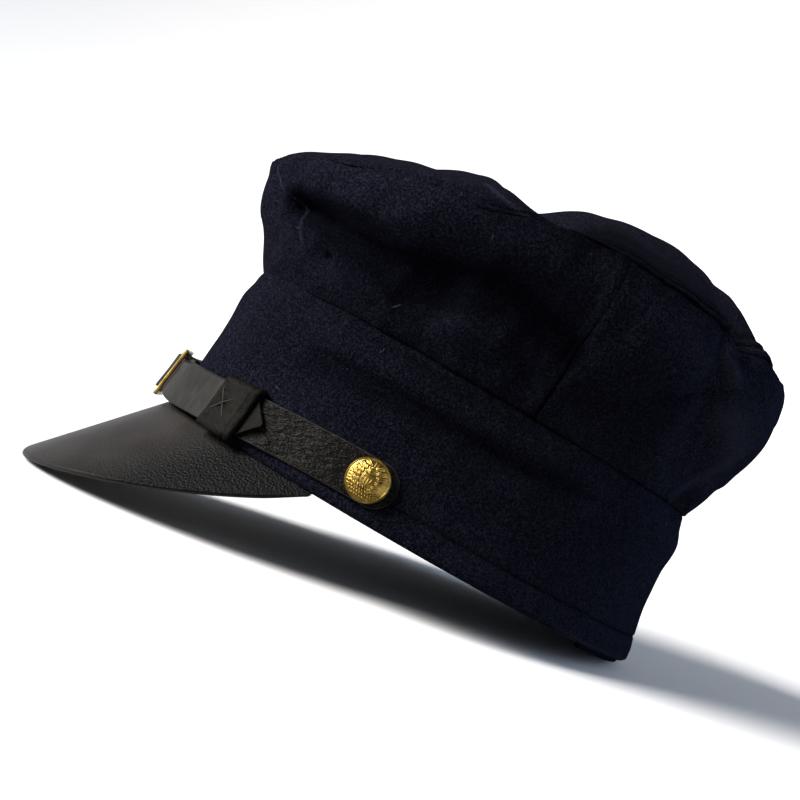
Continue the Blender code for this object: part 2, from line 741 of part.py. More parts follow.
def build_button(parent, brass, name, run):
    """A gilt button: a domed front with its relief, a rolled rim and a flat back that lies on the strap."""
    rings, sides = 9, 30
    back = strap_standoff(run) + STRAP_LEATHER + GAP
    mesh = bmesh.new()
    profile = []
    for step in range(rings):
        share = step / rings
        radius = BUTTON_RADIUS * (1 - share * 0.98)
        height = BUTTON_SKIRT + BUTTON_DOME * (1 - (radius / BUTTON_RADIUS) ** 2)
        profile.append((radius, height, True))
    profile.insert(0, (BUTTON_RADIUS * 0.98, BUTTON_SKIRT * 0.4, False))
    profile.insert(0, (BUTTON_RADIUS * 0.86, 0.0, False))
    loops = []
    for radius, height, cast in profile:
        loop = []
        for side in range(sides):
            turn = math.tau * side / sides
            across, up = radius * math.cos(turn), radius * math.sin(turn)
            share = radius / BUTTON_RADIUS
            raised = relief(across / BUTTON_RADIUS, up / BUTTON_RADIUS) if cast and share < 0.86 else 0.0
            loop.append(mesh.verts.new((across, up, height + raised * BUTTON_RELIEF)))
        loops.append(loop)
    for low, high in zip(loops, loops[1:]):
        for here in range(sides):
            there = (here + 1) % sides
            mesh.faces.new((low[here], low[there], high[there], high[here]))
    mesh.faces.new(loops[0][::-1])
    mesh.faces.new(loops[-1])
    button = add_object(name, mesh, brass, parent)
    place_on_band(button, run, back, strap_height(run))
    shade_round(button, 50)


def world_points(made, graph):
    """The corners of an object as it is shown, with its modifiers."""
    shown = made.evaluated_get(graph)
    return [shown.matrix_world @ vertex.co for vertex in shown.data.vertices]


def lay_down(parent, peak, flap):
    """Tips the cap back until the peak and the neck flap both touch the ground, and centres it there."""
    bpy.context.view_layer.update()
    graph = bpy.context.evaluated_depsgraph_get()
    front, back = world_points(peak, graph), world_points(flap, graph)

    def lowest(points, tip):
        return min(point.z * math.cos(tip) - point.y * math.sin(tip) for point in points)

    low, high = 0.0, math.radians(40)
    for _ in range(40):
        tip = (low + high) / 2
        if lowest(front, tip) < lowest(back, tip):
            low = tip
        else:
            high = tip
    parent.rotation_euler.x = -low
    bpy.context.view_layer.update()
    graph = bpy.context.evaluated_depsgraph_get()
    solids = [made for made in parent.children if made.type == "MESH"]
    points = [point for made in solids for point in world_points(made, graph)]
    for axis in (0, 1):
        values = [point[axis] for point in points]
        parent.location[axis] = -(min(values) + max(values)) / 2
    parent.location.z = -min(point.z for point in points)
    bpy.context.view_layer.update()


def main():
    for made in list(bpy.data.objects):
        bpy.data.objects.remove(made)
    wool = make_material("navy_wool", (0.012, 0.014, 0.028), 0.95)
    peak_leather = make_material("peak_leather", (0.022, 0.021, 0.020), 0.55)
    strap_leather = make_material("strap_leather", (0.020, 0.019, 0.018), 0.50)
    brass = make_material("gilt_brass", (0.72, 0.55, 0.20), 0.25, 1.0)

    cap = bpy.data.objects.new("resting_cap", None)
    bpy.context.scene.collection.objects.link(cap)
    build_band(cap, wool)
    build_crown_walls(cap, wool)
    build_crown_top(cap, wool)
    flap = build_neck_flap(cap, wool)
    peak = build_peak(cap, peak_leather)
    build_near_strap(cap, strap_leather)
    build_far_strap(cap, strap_leather)
    build_keeper(cap, strap_leather)
    build_buckle(cap, brass)
    build_button(cap, brass, "button_left", BUTTON_RUN)
    build_button(cap, brass, "button_right", -BUTTON_RUN)
    lay_down(cap, peak, flap)


main()
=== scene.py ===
"""A peaked cap of dark wool with a leather peak, a buckled strap and gilt buttons, dressed over its solids.

The cap is drawn in the frame of its rim: +Z up from the head opening, -Y to the peak and +X to the wearer's
left. to_rest() then tips it as it lies on the ground. The tables of sections, seams and main folds are those
of the solids. Lengths are in metres where nothing else is said.
"""

import math

import bpy
import numpy as np
from mathutils import Matrix, Vector


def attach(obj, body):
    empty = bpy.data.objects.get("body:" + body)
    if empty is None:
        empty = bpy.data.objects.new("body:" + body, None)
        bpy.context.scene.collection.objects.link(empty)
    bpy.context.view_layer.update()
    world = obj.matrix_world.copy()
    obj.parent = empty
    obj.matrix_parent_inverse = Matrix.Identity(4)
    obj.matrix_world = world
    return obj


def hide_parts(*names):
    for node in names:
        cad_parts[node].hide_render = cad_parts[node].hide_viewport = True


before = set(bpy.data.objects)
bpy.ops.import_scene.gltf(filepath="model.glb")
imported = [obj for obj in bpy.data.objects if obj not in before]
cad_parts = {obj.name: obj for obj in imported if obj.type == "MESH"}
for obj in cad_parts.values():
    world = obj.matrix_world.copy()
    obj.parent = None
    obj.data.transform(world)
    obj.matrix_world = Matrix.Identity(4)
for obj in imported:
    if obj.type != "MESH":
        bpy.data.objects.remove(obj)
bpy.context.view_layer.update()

# How the cap rests
REST_TIP = math.radians(-10.0733)
REST_PLACE = Vector((-0.000184, 0.011819, 0.020425))
REST = Matrix.Translation(REST_PLACE) @ Matrix.Rotation(REST_TIP, 4, "X")

# Head and cloth
HEAD_LENGTH = 0.206
HEAD_WIDTH = 0.172
WOOL = 0.003
GAP = 0.0003
SEAM_GAP = 0.00001
BAND_HEIGHT = 0.062
BAND_TAPER_FRONT = 0.006
BAND_TAPER = 0.009
CROWN_SPREAD = 0.018
EDGE_FRONT = 0.1035
EDGE_SIDE = 0.1285
EDGE_REAR = 0.1275
TOP_RISE = 0.0245
CLIMB_LENGTH = 0.055
SEAM_DROP = 0.07
FOLD_UNIT = 0.010
HEM_LINE = 0.0105
HEM_STITCH = 0.0030
SHORT_PULL = 0.0050
LONG_PULL = 0.0060
HEM_ROUND = 0.0014
BAND_SEAM_ROUND = 0.0006
SIDE_SEAM_ROUND = 0.0007
TOP_SEAM_ROUND = 0.0010

# Peak
PEAK_DEPTH = 0.0600
PEAK_END_DEPTH = 0.0015
PEAK_HALF_RUN = 0.094
PEAK_SLOPE = 47.5
PEAK_SIDE_SLOPE = 52.0
PEAK_TURN = 0.62
PEAK_LEATHER = 0.0022

# Strap, buckle, keeper and buttons
STRAP_LEATHER = 0.0015
STRAP_WIDTH = 0.0170
STRAP_HEIGHT = 0.0090
STRAP_LIFT = 0.0048
STRAP_STANDOFF = 0.0024
BUTTON_RUN = 0.109
STRAP_BEYOND_BUTTON = 0.0115
POINT_PAST_KEEPER = 0.0070
KEEPER_RUN = 0.0505
KEEPER_WIDTH = 0.0170
KEEPER_LEATHER = 0.0014
KEEPER_CORNER = 0.0010
CROSS_THREAD = 0.00024
EDGE_THREAD = 0.00020
HEM_THREAD = 0.00015
BUCKLE_RUN = -0.0180
BUCKLE_LENGTH = 0.0180
BUCKLE_BAR = 0.0018
BUCKLE_THICKNESS = 0.0015
BUCKLE_ROOM = 0.0006
FAR_TURN_BACK = 0.0130
BUTTON_RADIUS = 0.0083
BUTTON_DOME = 0.0030
BUTTON_SKIRT = 0.0012
BUTTON_RELIEF = 0.00070

# Neck flap
FLAP_CLOTH = 0.0020
FLAP_LAYER = 0.00095
FLAP_DROP = 0.0025
FLAP_HEIGHT = 0.038
FLAP_HALF_ANGLE = 53.0

# Points of the larger nets
BAND_ROWS = 68
BAND_COLUMNS = 561
WALL_ROWS = 112
WALL_COLUMNS = {"crown_front": 190, "crown_front_left": 240, "crown_rear_left": 210}
FAR_WALL_COLUMNS = 120
TOP_NET = 201
BUTTON_NET = 141
PEAK_ROWS = 78
PEAK_COLUMNS = 241

# The peak's rows with the edge's finish: the lower half of its rounded edge and the start of its back
PEAK_EDGE_FIRST = 88
PEAK_EDGE_LAST = 100

# Height as a share of the band's height, and how far it draws in as a share of its taper
BAND_SECTIONS = (
    (0.00, 0.00),
    (0.20, 0.30),
    (0.45, 0.50),
    (0.62, 0.58),
    (0.80, 0.55),
    (0.92, 0.85),
    (1.00, 1.00),
)

# Height as a share of the crown's rise, and how far the wall spreads at the front, the sides and the rear
CROWN_SECTIONS = (
    (0.00, 0.00, 0.00, 0.00),
    (0.10, 0.16, 0.18, 0.18),
    (0.25, 0.36, 0.48, 0.36),
    (0.45, 0.70, 0.76, 0.52),
    (0.62, 0.87, 0.88, 0.62),
    (0.80, 0.99, 0.90, 0.62),
    (0.92, 1.08, 0.80, 0.50),
    (1.00, 1.04, 0.62, 0.22),
)

# The wall's panels, each with the angle of its first seam at the band and at the top
CROWN_SEAMS = (
    ("crown_front", -34.0, -22.0),
    ("crown_front_left", 34.0, 4.0),
    ("crown_rear_left", 89.0, 88.0),
    ("crown_rear_right", 180.0, 180.0),
    ("crown_front_right", 270.0, 270.0),
)

# Main folds of the wall and the band: a path of angles and climbs, then a width and a depth in fold units
WALL_FOLDS = (
    (((20, 0.62), (36, 0.52), (48, 0.47), (60, 0.33)), 0.75, -0.75),
    (((57, 0.60), (68, 0.53), (84, 0.48)), 1.05, -0.50),
    (((26, 0.84), (52, 0.76), (76, 0.80)), 1.20, 0.30),
    (((32, 0.40), (42, 0.30), (50, 0.20)), 0.80, 0.30),
    (((30, 0.28), (33, 0.24)), 0.35, -0.15),
    (((4, 0.75), (9, 0.30)), 0.70, -0.22),
    (((85, 0.62), (88, 0.42)), 0.50, -0.22),
    (((78, 0.24), (98, 0.18)), 0.50, -0.20),
    (((124, 1.04), (117, 0.84), (117, 0.68), (122, 0.44), (136, 0.16), (150, 0.02)), 0.85, -0.48),
    (((138, 0.70), (160, 0.56), (178, 0.52)), 1.80, 0.30),
    (((107, 0.46), (113, 0.56)), 0.40, -0.22),
    (((36, -0.28), (64, -0.26), (92, -0.28), (114, -0.18)), 0.75, -0.20),
    (((-28, 0.62), (-46, 0.50), (-66, 0.58)), 1.00, -0.60),
    (((-74, 0.60), (-96, 0.44), (-112, 0.50)), 1.10, -0.45),
    (((-138, 1.00), (-132, 0.60), (-146, 0.15)), 0.90, -0.42),
    (((-60, -0.25), (-96, -0.32), (-124, -0.22)), 0.90, -0.18),
)

# Main folds of the top: a path of shares of its half width and half length, then a width and a depth
TOP_FOLDS = (
    (((0.84, -0.26), (0.45, -0.30), (0.00, -0.20), (-0.45, -0.26), (-0.62, -0.34)), 1.35, -1.05),
    (((0.02, -0.14), (-0.30, 0.04), (-0.62, 0.08)), 1.40, -0.45),
    (((0.16, 0.36), (-0.10, 0.62)), 3.20, 1.00),
    (((0.40, -0.62), (-0.30, -0.66)), 1.80, -0.35),
    (((0.60, 0.85), (0.50, 0.66), (0.34, 0.60)), 0.80, -0.42),
    (((-0.72, 0.36), (-0.46, 0.46)), 1.70, -0.40),
)

# Finer creases, which only the dressed cloth has: a path, then its widths above and below and its depth in mm
CREASES = (
    (((12, 0.60), (18, 0.565), (24.5, 0.51), (31.5, 0.46), (38, 0.41), (44, 0.385), (49.5, 0.34), (52, 0.30)),
     3.6, 6.5, -5.0),
    (((14, 0.72), (28, 0.68), (38, 0.655), (45, 0.60), (51, 0.54), (56, 0.48)), 5.0, 4.0, 2.2),
    (((50, 0.35), (56, 0.29), (62, 0.33)), 5.0, 7.0, -2.2),
    (((56, 0.50), (62, 0.48), (69, 0.49), (76, 0.45), (82, 0.42), (87, 0.38)), 2.8, 8.0, -2.6),
    (((60, 0.72), (70, 0.70), (80, 0.68)), 5.0, 5.0, 1.4),
    (((32.2, 0.275), (32.8, 0.265)), 1.7, 1.7, -1.7),
    (((60, 0.24), (72, 0.22), (80, 0.28)), 4.0, 4.0, 0.6),
    (((3, 0.86), (6, 0.60), (8, 0.34)), 2.0, 2.0, -0.7),
    (((-4, 0.80), (-2, 0.52)), 2.4, 2.4, -0.6),
    (((86, 0.60), (87.5, 0.44), (87, 0.22)), 1.6, 1.6, -1.3),
    (((91, 0.56), (99, 0.44)), 1.6, 2.4, -0.9),
    (((76, 0.30), (82, 0.18), (88, 0.10)), 1.4, 2.2, -0.9),
    (((92, 0.22), (100, 0.15)), 1.3, 1.8, -0.8),
    (((123, 1.16), (116, 1.00), (115.5, 0.90), (121, 0.80), (123, 0.70)), 2.2, 2.4, 1.8),
    (((124, 1.02), (122.5, 0.95), (124, 0.87), (127, 0.82)), 2.2, 3.0, -2.2),
    (((141, 1.38), (138, 1.30), (134.5, 1.20), (133, 1.13), (132.3, 1.06)), 4.5, 4.5, 3.4),
    (((104, 0.42), (112, 0.50), (122, 0.68)), 1.3, 2.2, -1.9),
    (((123, 0.44), (128, 0.29), (136, 0.12)), 2.6, 2.6, 1.0),
    (((146, 0.66), (150, 0.50), (154, 0.34), (156.5, 0.18)), 11.0, 11.0, -3.6),
    (((116, 0.40), (121, 0.24), (130, 0.06)), 3.2, 3.2, -1.0),
    (((36, -0.30), (50, -0.28), (66, -0.27), (92, -0.30), (114, -0.19)), 1.6, 3.4, -1.2),
    (((44, -0.46), (60, -0.44), (84, -0.42)), 2.5, 2.5, 0.5),
    (((-30, 0.66), (-47, 0.55), (-64, 0.60)), 2.0, 6.0, -2.4),
    (((-76, 0.63), (-96, 0.49), (-110, 0.53)), 2.2, 6.0, -1.8),
    (((-28, 0.76), (-47, 0.68), (-62, 0.72)), 5.0, 3.5, 1.2),
    (((-58, -0.25), (-96, -0.33), (-122, -0.22)), 1.8, 3.0, -0.8),
    (((140, 0.30), (158, 0.22), (172, 0.26)), 2.2, 3.4, -0.9),
    (((-150, 0.34), (-166, 0.24)), 2.2, 3.4, -0.9),
)

# Painted shade laid over the wool in strokes, in its creases and hollows and where it turns from the light,
# or below 0 a painted highlight: a path, a width in mm, an amount
PAINTED_SHADES = (
    (((17, 0.575), (24, 0.515), (31, 0.46), (36.5, 0.42), (43, 0.39), (47.5, 0.365), (50, 0.335)), 7.0, 1.00),
    (((48, 0.38), (51.5, 0.33), (56, 0.30), (61, 0.32)), 5.0, 0.80),
    (((54, 0.44), (60, 0.44), (68, 0.46)), 8.0, 0.60),
    (((62, 0.58), (70, 0.58), (78, 0.56)), 9.0, 0.32),
    (((84, 0.86), (95, 0.84), (108, 0.80)), 8.0, -0.32),
    (((20, -0.46), (34, -0.48), (48, -0.50)), 10.0, 0.16),
    (((62, -0.55), (90, -0.50), (120, -0.40)), 24.0, 0.28),
    (((80, 1.06), (95, 1.10), (112, 1.12)), 11.0, 0.75),
    (((62, 0.40), (68, 0.46), (74, 0.46), (80, 0.43), (88, 0.38)), 5.5, 0.60),
    (((40, -0.34), (60, -0.30), (80, -0.28), (104, -0.22)), 6.0, 0.40),
    (((26, -0.10), (50, -0.02), (74, 0.00)), 26.0, 0.32),
    (((30, 0.00), (60, -0.06), (90, -0.06)), 4.0, 0.18),
    (((64, 0.95), (82, 1.05), (100, 1.25), (125, 1.40)), 17.0, 0.50),
    (((-30, 0.60), (-47, 0.55), (-64, 0.60)), 7.0, 0.60),
    (((126, 0.56), (131, 0.56), (138, 0.44), (143, 0.16)), 6.0, -0.45),
    (((82, 0.26), (94, 0.26), (108, 0.26)), 14.0, 0.30),
    (((96, 0.62), (104, 0.52), (112, 0.42)), 12.0, 0.22),
    (((133, 1.12), (131, 0.95)), 5.0, 0.35),
    (((122, 1.00), (117, 0.92), (118, 0.84), (121.5, 0.77)), 2.6, -0.60),
    (((55, 1.11), (60.5, 0.99), (63.5, 0.96), (67, 0.94)), 1.0, -0.90),
)


def ease(share):
    """Eases from 0 to 1."""
    share = np.clip(share, 0.0, 1.0)
    return share * share * (3 - 2 * share)


def between(degrees, low, rise, high, fall):
    """1 between two angles, easing in after the first and out before the second."""
    return ease((degrees - low) / rise) * ease((high - degrees) / fall)


def line(distance, place, width):
    """1 along a line at a distance from an edge, fading over its width."""
    return np.exp(-(((distance - place) / width) ** 2))


def read_table(rows, share, column):
    """A value between the rows of a table, on a curve that runs through each of them."""
    table = np.array(rows)
    stops, values = table[:, 0], table[:, column]
    low = np.clip(np.searchsorted(stops[1:-1], share, side="right"), 0, len(stops) - 2)
    high = low + 1
    before, after = np.maximum(low - 1, 0), np.minimum(high + 1, len(stops) - 1)
    span = stops[high] - stops[low]
    part = (share - stops[low]) / span
    leave = (values[high] - values[before]) / (stops[high] - stops[before]) * span
    arrive = (values[after] - values[low]) / (stops[after] - stops[low]) * span
    square, cube = part**2, part**3
    return (
        values[low] * (2 * cube - 3 * square + 1)
        + leave * (cube - 2 * square + part)
        + values[high] * (3 * square - 2 * cube)
        + arrive * (cube - square)
    )


def around(angle, front, side, rear):
    """A value that eases from the front to the sides and from there to the rear."""
    along = np.cos(angle)
    return side + (np.where(along > 0, front, rear) - side) * along**2


def taper(angle):
    return around(angle, BAND_TAPER_FRONT, BAND_TAPER, BAND_TAPER)


def unit(vectors):
    return vectors / np.maximum(1e-12, np.linalg.norm(vectors, axis=-1, keepdims=True))


def oval(angle, grow, height=0.0):
    """Points of the rim's outer outline, or of one that stands out from it by grow."""
    across = (HEAD_WIDTH / 2 + WOOL + grow) * np.sin(angle)
    along = -(HEAD_LENGTH / 2 + WOOL + grow) * np.cos(angle)
    return np.stack(np.broadcast_arrays(across, along, height), axis=-1)


def oval_normal(angle):
    """The way that the rim's outline faces."""
    across = (HEAD_LENGTH / 2 + WOOL) * np.sin(angle)
    along = -(HEAD_WIDTH / 2 + WOOL) * np.cos(angle)
    return unit(np.stack(np.broadcast_arrays(across, along, 0.0), axis=-1))


def bare_cloth(angle, climb):
    """The cap's outer surface before its folds. climb is -1 at the rim, 0 at the band's seam, 1 at the
    crown's edge and 2 in the middle of the top."""
    angle, climb = np.broadcast_arrays(angle, climb)
    share = np.clip(climb + 1, 0, 1)
    band = oval(angle, -taper(angle) * read_table(BAND_SECTIONS, share, 1), BAND_HEIGHT * share)
    share = np.clip(climb, 0, 1)
    spread = around(angle, *(read_table(CROWN_SECTIONS, share, column) for column in (1, 2, 3)))
    edge = around(angle, EDGE_FRONT, EDGE_SIDE, EDGE_REAR)
    wall = oval(angle, CROWN_SPREAD * spread - taper(angle), BAND_HEIGHT + (edge - BAND_HEIGHT) * share)
    reach = np.clip(2 - climb, 0, 1)
    middle = (EDGE_FRONT + EDGE_SIDE * 2 + EDGE_REAR) / 4
    height = middle + (edge - middle) * reach**2 + TOP_RISE * (1 - reach**2)
    top = np.stack((wall[..., 0] * reach, wall[..., 1] * reach, height), axis=-1)
    climb = climb[..., None]
    return np.where(climb <= 0, band, np.where(climb <= 1, wall, top))


def facing(angle, climb):
    """The way that the bare cloth faces. It turns smoothly over the band's seam and the crown's edge."""
    turn, step = math.radians(1.0), 0.045
    low, high = np.maximum(-1.0, climb - step), np.minimum(1.97, climb + step)
    middle = np.clip(climb, -1.0, 1.95)
    across = bare_cloth(angle + turn, middle) - bare_cloth(angle - turn, middle)
    along = bare_cloth(angle, high) - bare_cloth(angle, low)
    out = unit(np.cross(across, along))
    inner = ease(1 - (2 - np.asarray(climb)) / 0.25)[..., None]
    return unit(out * (1 - inner) + np.array((0, 0, 1.0)) * inner)


def unroll(degrees, climb):
    """A place on the cloth laid out flat: the distance round it and the distance up it."""
    climb = np.asarray(climb, dtype=float)
    rise = (EDGE_FRONT + EDGE_REAR - BAND_HEIGHT * 2) / 2
    height = np.where(climb <= 0, climb * BAND_HEIGHT, climb * rise)
    return np.stack(np.broadcast_arrays(np.radians(degrees) * HEAD_LENGTH / 2, height), axis=-1)


def off_path(place, path):
    """How far each place is from a path of flat points, how much it lies to the path's left, from -1 to 1,
    and its distance from the nearer end along the path."""
    nearest = np.full(place.shape[:-1], np.inf)
    left = np.zeros(place.shape[:-1])
    along = np.zeros(place.shape[:-1])
    lengths = [np.linalg.norm(end - start) for start, end in zip(path, path[1:])]
    gone_before = 0.0
    for start, end, length in zip(path, path[1:], lengths):
        way = (end - start) / length
        away = place - start
        share = np.clip(away @ way, 0, length)
        gone = np.linalg.norm(away - share[..., None] * way, axis=-1)
        closer = gone < nearest
        nearest = np.where(closer, gone, nearest)
        side = (way[0] * away[..., 1] - way[1] * away[..., 0]) / np.maximum(gone, 1e-9)
        left = np.where(closer, np.clip(side, -1, 1), left)
        along = np.where(closer, gone_before + share, along)
        gone_before += length
    return nearest, left, np.minimum(along, sum(lengths) - along)


def wrapped(angle, path):
    """Angles in degrees, taken on the turn that holds a fold's path."""
    middle = (path[0][0] + path[-1][0]) / 2
    return (np.degrees(angle) - middle + 180) % 360 - 180 + middle


def off_stroke(angle, climb, path):
    """How far places on the cloth are from a path of angles in degrees and climbs, as off_path says it."""
    return off_path(unroll(wrapped(angle, path), climb), [unroll(*stop) for stop in path])


def fold_depth(angle, climb):
    """How far the main folds push the cloth out or in."""
    depth = np.zeros(np.broadcast(angle, climb).shape)
    for path, width, push in WALL_FOLDS:
        gone = off_stroke(angle, climb, path)[0]
        depth += push * FOLD_UNIT * line(gone, 0, width * FOLD_UNIT)
    depth *= ease(1 + climb)
    plan = bare_cloth(angle, np.maximum(1.0, climb))[..., :2]
    half = np.array((HEAD_WIDTH / 2 + WOOL, HEAD_LENGTH / 2 + WOOL))
    on_top = ease((climb - 0.6) / 0.7)
    for path, width, push in TOP_FOLDS:
        gone = off_path(plan, [np.array(stop) * half for stop in path])[0]
        depth += on_top * push * FOLD_UNIT * line(gone, 0, width * FOLD_UNIT)
    return depth


def crease_depth(angle, climb):
    """How far the finer creases push the cloth, each steeper on one side of its path."""
    depth = np.zeros(np.broadcast(angle, climb).shape)
    for path, above, below, push in CREASES:
        gone, left, from_end = off_stroke(angle, climb, path)
        width = (below + (above - below) * (0.5 + left / 2)) / 1000
        fade = 0.25 + 0.75 * ease(from_end / 0.010) if len(path) > 2 else 1.0
        depth += push / 1000 * line(gone, 0, width) * fade
    return depth


def painted_shade(angle, climb):
    """How much painted shade the strokes lay on the wool, below 0 where they lay a painted highlight."""
    shade = np.zeros(np.broadcast(angle, climb).shape)
    for path, width, amount in PAINTED_SHADES:
        gone = off_stroke(angle, climb, path)[0]
        shade += amount * line(gone * 1000, 0, width)
    return np.clip(shade, -1, 0.85)


def ripple(points, seed, longest, depth, count=14):
    """A gentle unevenness, as hand-sewn cloth has: a few waves in chosen directions."""
    chosen = np.random.default_rng(seed)
    total = np.zeros(points.shape[:-1])
    for _ in range(count):
        way = unit(chosen.normal(size=3))
        length = longest * chosen.uniform(0.35, 1.0)
        total += np.sin(points @ way * math.tau / length + chosen.uniform(0, math.tau)) * length / longest
    return total * depth / math.sqrt(count / 2)


def cloth(angle, climb):
    """The cap's outer surface with its main folds."""
    return bare_cloth(angle, climb) + facing(angle, climb) * fold_depth(angle, climb)[..., None]


def seam_climb(angle):
    """Where the top seam lies: just below the crown's edge, and lowest between the front and the sides."""
    turned = np.abs((np.degrees(angle) + 180) % 360 - 180)
    dip = line(turned, 61, 8)
    return 1 - SEAM_DROP * (0.4 + 0.5 * ease((74 - turned) / 12) + 0.8 * dip)


def rounded_cloth(angle, climb):
    """The cloth, with the crown's edge rounded over."""
    share = 0.65 * ease(1.4 - np.abs(climb - 1) / 0.14)
    steps = np.linspace(-1, 1, 9)
    weights = 1.05 - np.abs(steps)
    total = sum(weight * cloth(angle, climb + step * 0.13 * share) for step, weight in zip(steps, weights))
    return total / weights.sum()


def to_rest(points):
    """Points of the rim's frame, moved to where the cap rests."""
    turn = np.array(Matrix.Rotation(REST_TIP, 3, "X"))
    return points @ turn.T + np.array(REST_PLACE)


def start_alone():
    """Leaves edit mode and deselects everything, so that an operator acts on the next primitive alone."""
    if bpy.context.object and bpy.context.object.mode != "OBJECT":
        bpy.ops.object.mode_set(mode="OBJECT")
    bpy.ops.object.select_all(action="DESELECT")


def pick(*pieces):
    """Selects pieces alone, with the first of them active."""
    start_alone()
    for piece in pieces:
        piece.select_set(True)
    bpy.context.view_layer.objects.active = pieces[0]


def lay_grid(name, points):
    """A grid of faces on rows of points, just as they are given, and the row and column of each vertex."""
    rows, columns = points.shape[:2]
    start_alone()
    bpy.ops.mesh.primitive_grid_add(x_subdivisions=columns - 1, y_subdivisions=rows - 1, size=1)
    made = bpy.context.object
    made.name = made.data.name = name
    flat = np.empty(len(made.data.vertices) * 3)
    made.data.vertices.foreach_get("co", flat)
    flat = flat.reshape(-1, 3)
    column = np.rint((flat[:, 0] + 0.5) * (columns - 1)).astype(int)
    row = np.rint((flat[:, 1] + 0.5) * (rows - 1)).astype(int)
    made.data.vertices.foreach_set("co", points[row, column].ravel())
    made.data.update()
    return made, row, column


def merge_doubles(made, distance):
    pick(made)
    bpy.ops.object.mode_set(mode="EDIT")
    bpy.ops.mesh.select_all(action="SELECT")
    bpy.ops.mesh.remove_doubles(threshold=distance)
    bpy.ops.object.mode_set(mode="OBJECT")


def lay_sheet(name, points, weld=False, painted_shading=None):
    """A sheet of faces laid on rows of points and moved to rest. Its UV map runs along the columns and then
    up the rows. Its points may also hold the wool's painted shade, or below 0 its painted highlight."""
    made, row, column = lay_grid(name, to_rest(points))
    if painted_shading is not None:
        held = made.data.attributes.new("painted_shading", "FLOAT", "POINT")
        held.data.foreach_set("value", np.clip(painted_shading, -1, 1)[row, column])
    if weld:
        merge_doubles(made, 1e-6)
    return made


def close(pieces, closing):
    """Joins pieces, closes their open edges with a mesh operator and turns all faces outwards."""
    pick(*pieces)
    if len(pieces) > 1:
        bpy.ops.object.join()
    bpy.ops.object.mode_set(mode="EDIT")
    bpy.ops.mesh.select_mode(type="EDGE")
    bpy.ops.mesh.select_all(action="DESELECT")
    bpy.ops.mesh.select_non_manifold(extend=False)
    closing()
    bpy.ops.mesh.select_all(action="SELECT")
    bpy.ops.mesh.normals_make_consistent(inside=False)
    bpy.ops.object.mode_set(mode="OBJECT")


def lay_wall(name, outer, inner, painted_shading):
    """A wall between two nets of points, closed all round its edge."""
    front = lay_sheet(name, outer, painted_shading=painted_shading)
    close([front, lay_sheet(name + "_back", inner)], bpy.ops.mesh.bridge_edge_loops)
    return front


def close_ends(made):
    """Fills each open loop of edges with one face, as at the ends of a tube."""
    close([made], bpy.ops.mesh.edge_face_add)


def apply(made, kind, **settings):
    """Adds a modifier and applies it at once."""
    pick(made)
    modifier = made.modifiers.new(kind.lower(), kind)
    for setting, value in settings.items():
        setattr(modifier, setting, value)
    bpy.ops.object.modifier_apply(modifier=modifier.name)


def shade(made, degrees=50):
    pick(made)
    bpy.ops.object.shade_smooth_by_angle(angle=math.radians(degrees), keep_sharp_edges=False)


def hand_over(made, slot, finishes, *nodes):
    """Gives a piece its finishes, lets it ride with the cap and hides the solids that it stands for."""
    for finish in finishes:
        made.data.materials.append(finish)
    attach(made, "root")
    if nodes:
        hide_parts(*nodes)


def run_along(points, axis):
    """Distance from each end of a net of points, along its columns or its rows."""
    steps = np.linalg.norm(np.diff(points, axis=axis), axis=-1)
    zero = np.zeros_like(np.take(steps, [0], axis=axis))
    gone = np.concatenate((zero, np.cumsum(steps, axis=axis)), axis=axis)
    return gone, np.take(gone, [-1], axis=axis) - gone


def turned_in(distance, radius):
    """How far a cloth edge of a given roundness draws in at a distance from where it ends."""
    near = np.clip(radius - distance, 0, radius)
    return radius - np.sqrt(radius**2 - near**2)


class Wire:
    """A node's output that can be used in arithmetic: each expression adds its Math nodes."""

    def __init__(self, finish, socket):
        self.finish, self.socket = finish, socket

    def math(self, operation, *others):
        values = dict(enumerate((self, *others)))
        return self.finish.node("ShaderNodeMath", {"operation": operation}, values)

    def __add__(self, other):
        return self.math("ADD", other)

    __radd__ = __add__

    def __sub__(self, other):
        return self.math("SUBTRACT", other)

    def __rsub__(self, other):
        return (self * -1) + other

    def __mul__(self, other):
        return self.math("MULTIPLY", other)

    __rmul__ = __mul__

    def __pow__(self, other):
        return self.math("POWER", other)

    def rise(self, low, high):
        """Eases from 0 to 1 as the value goes from low to high."""
        settings = {"interpolation_type": "SMOOTHSTEP"}
        return self.finish.node("ShaderNodeMapRange", settings, {0: self, 1: low, 2: high, 3: 0.0, 4: 1.0})


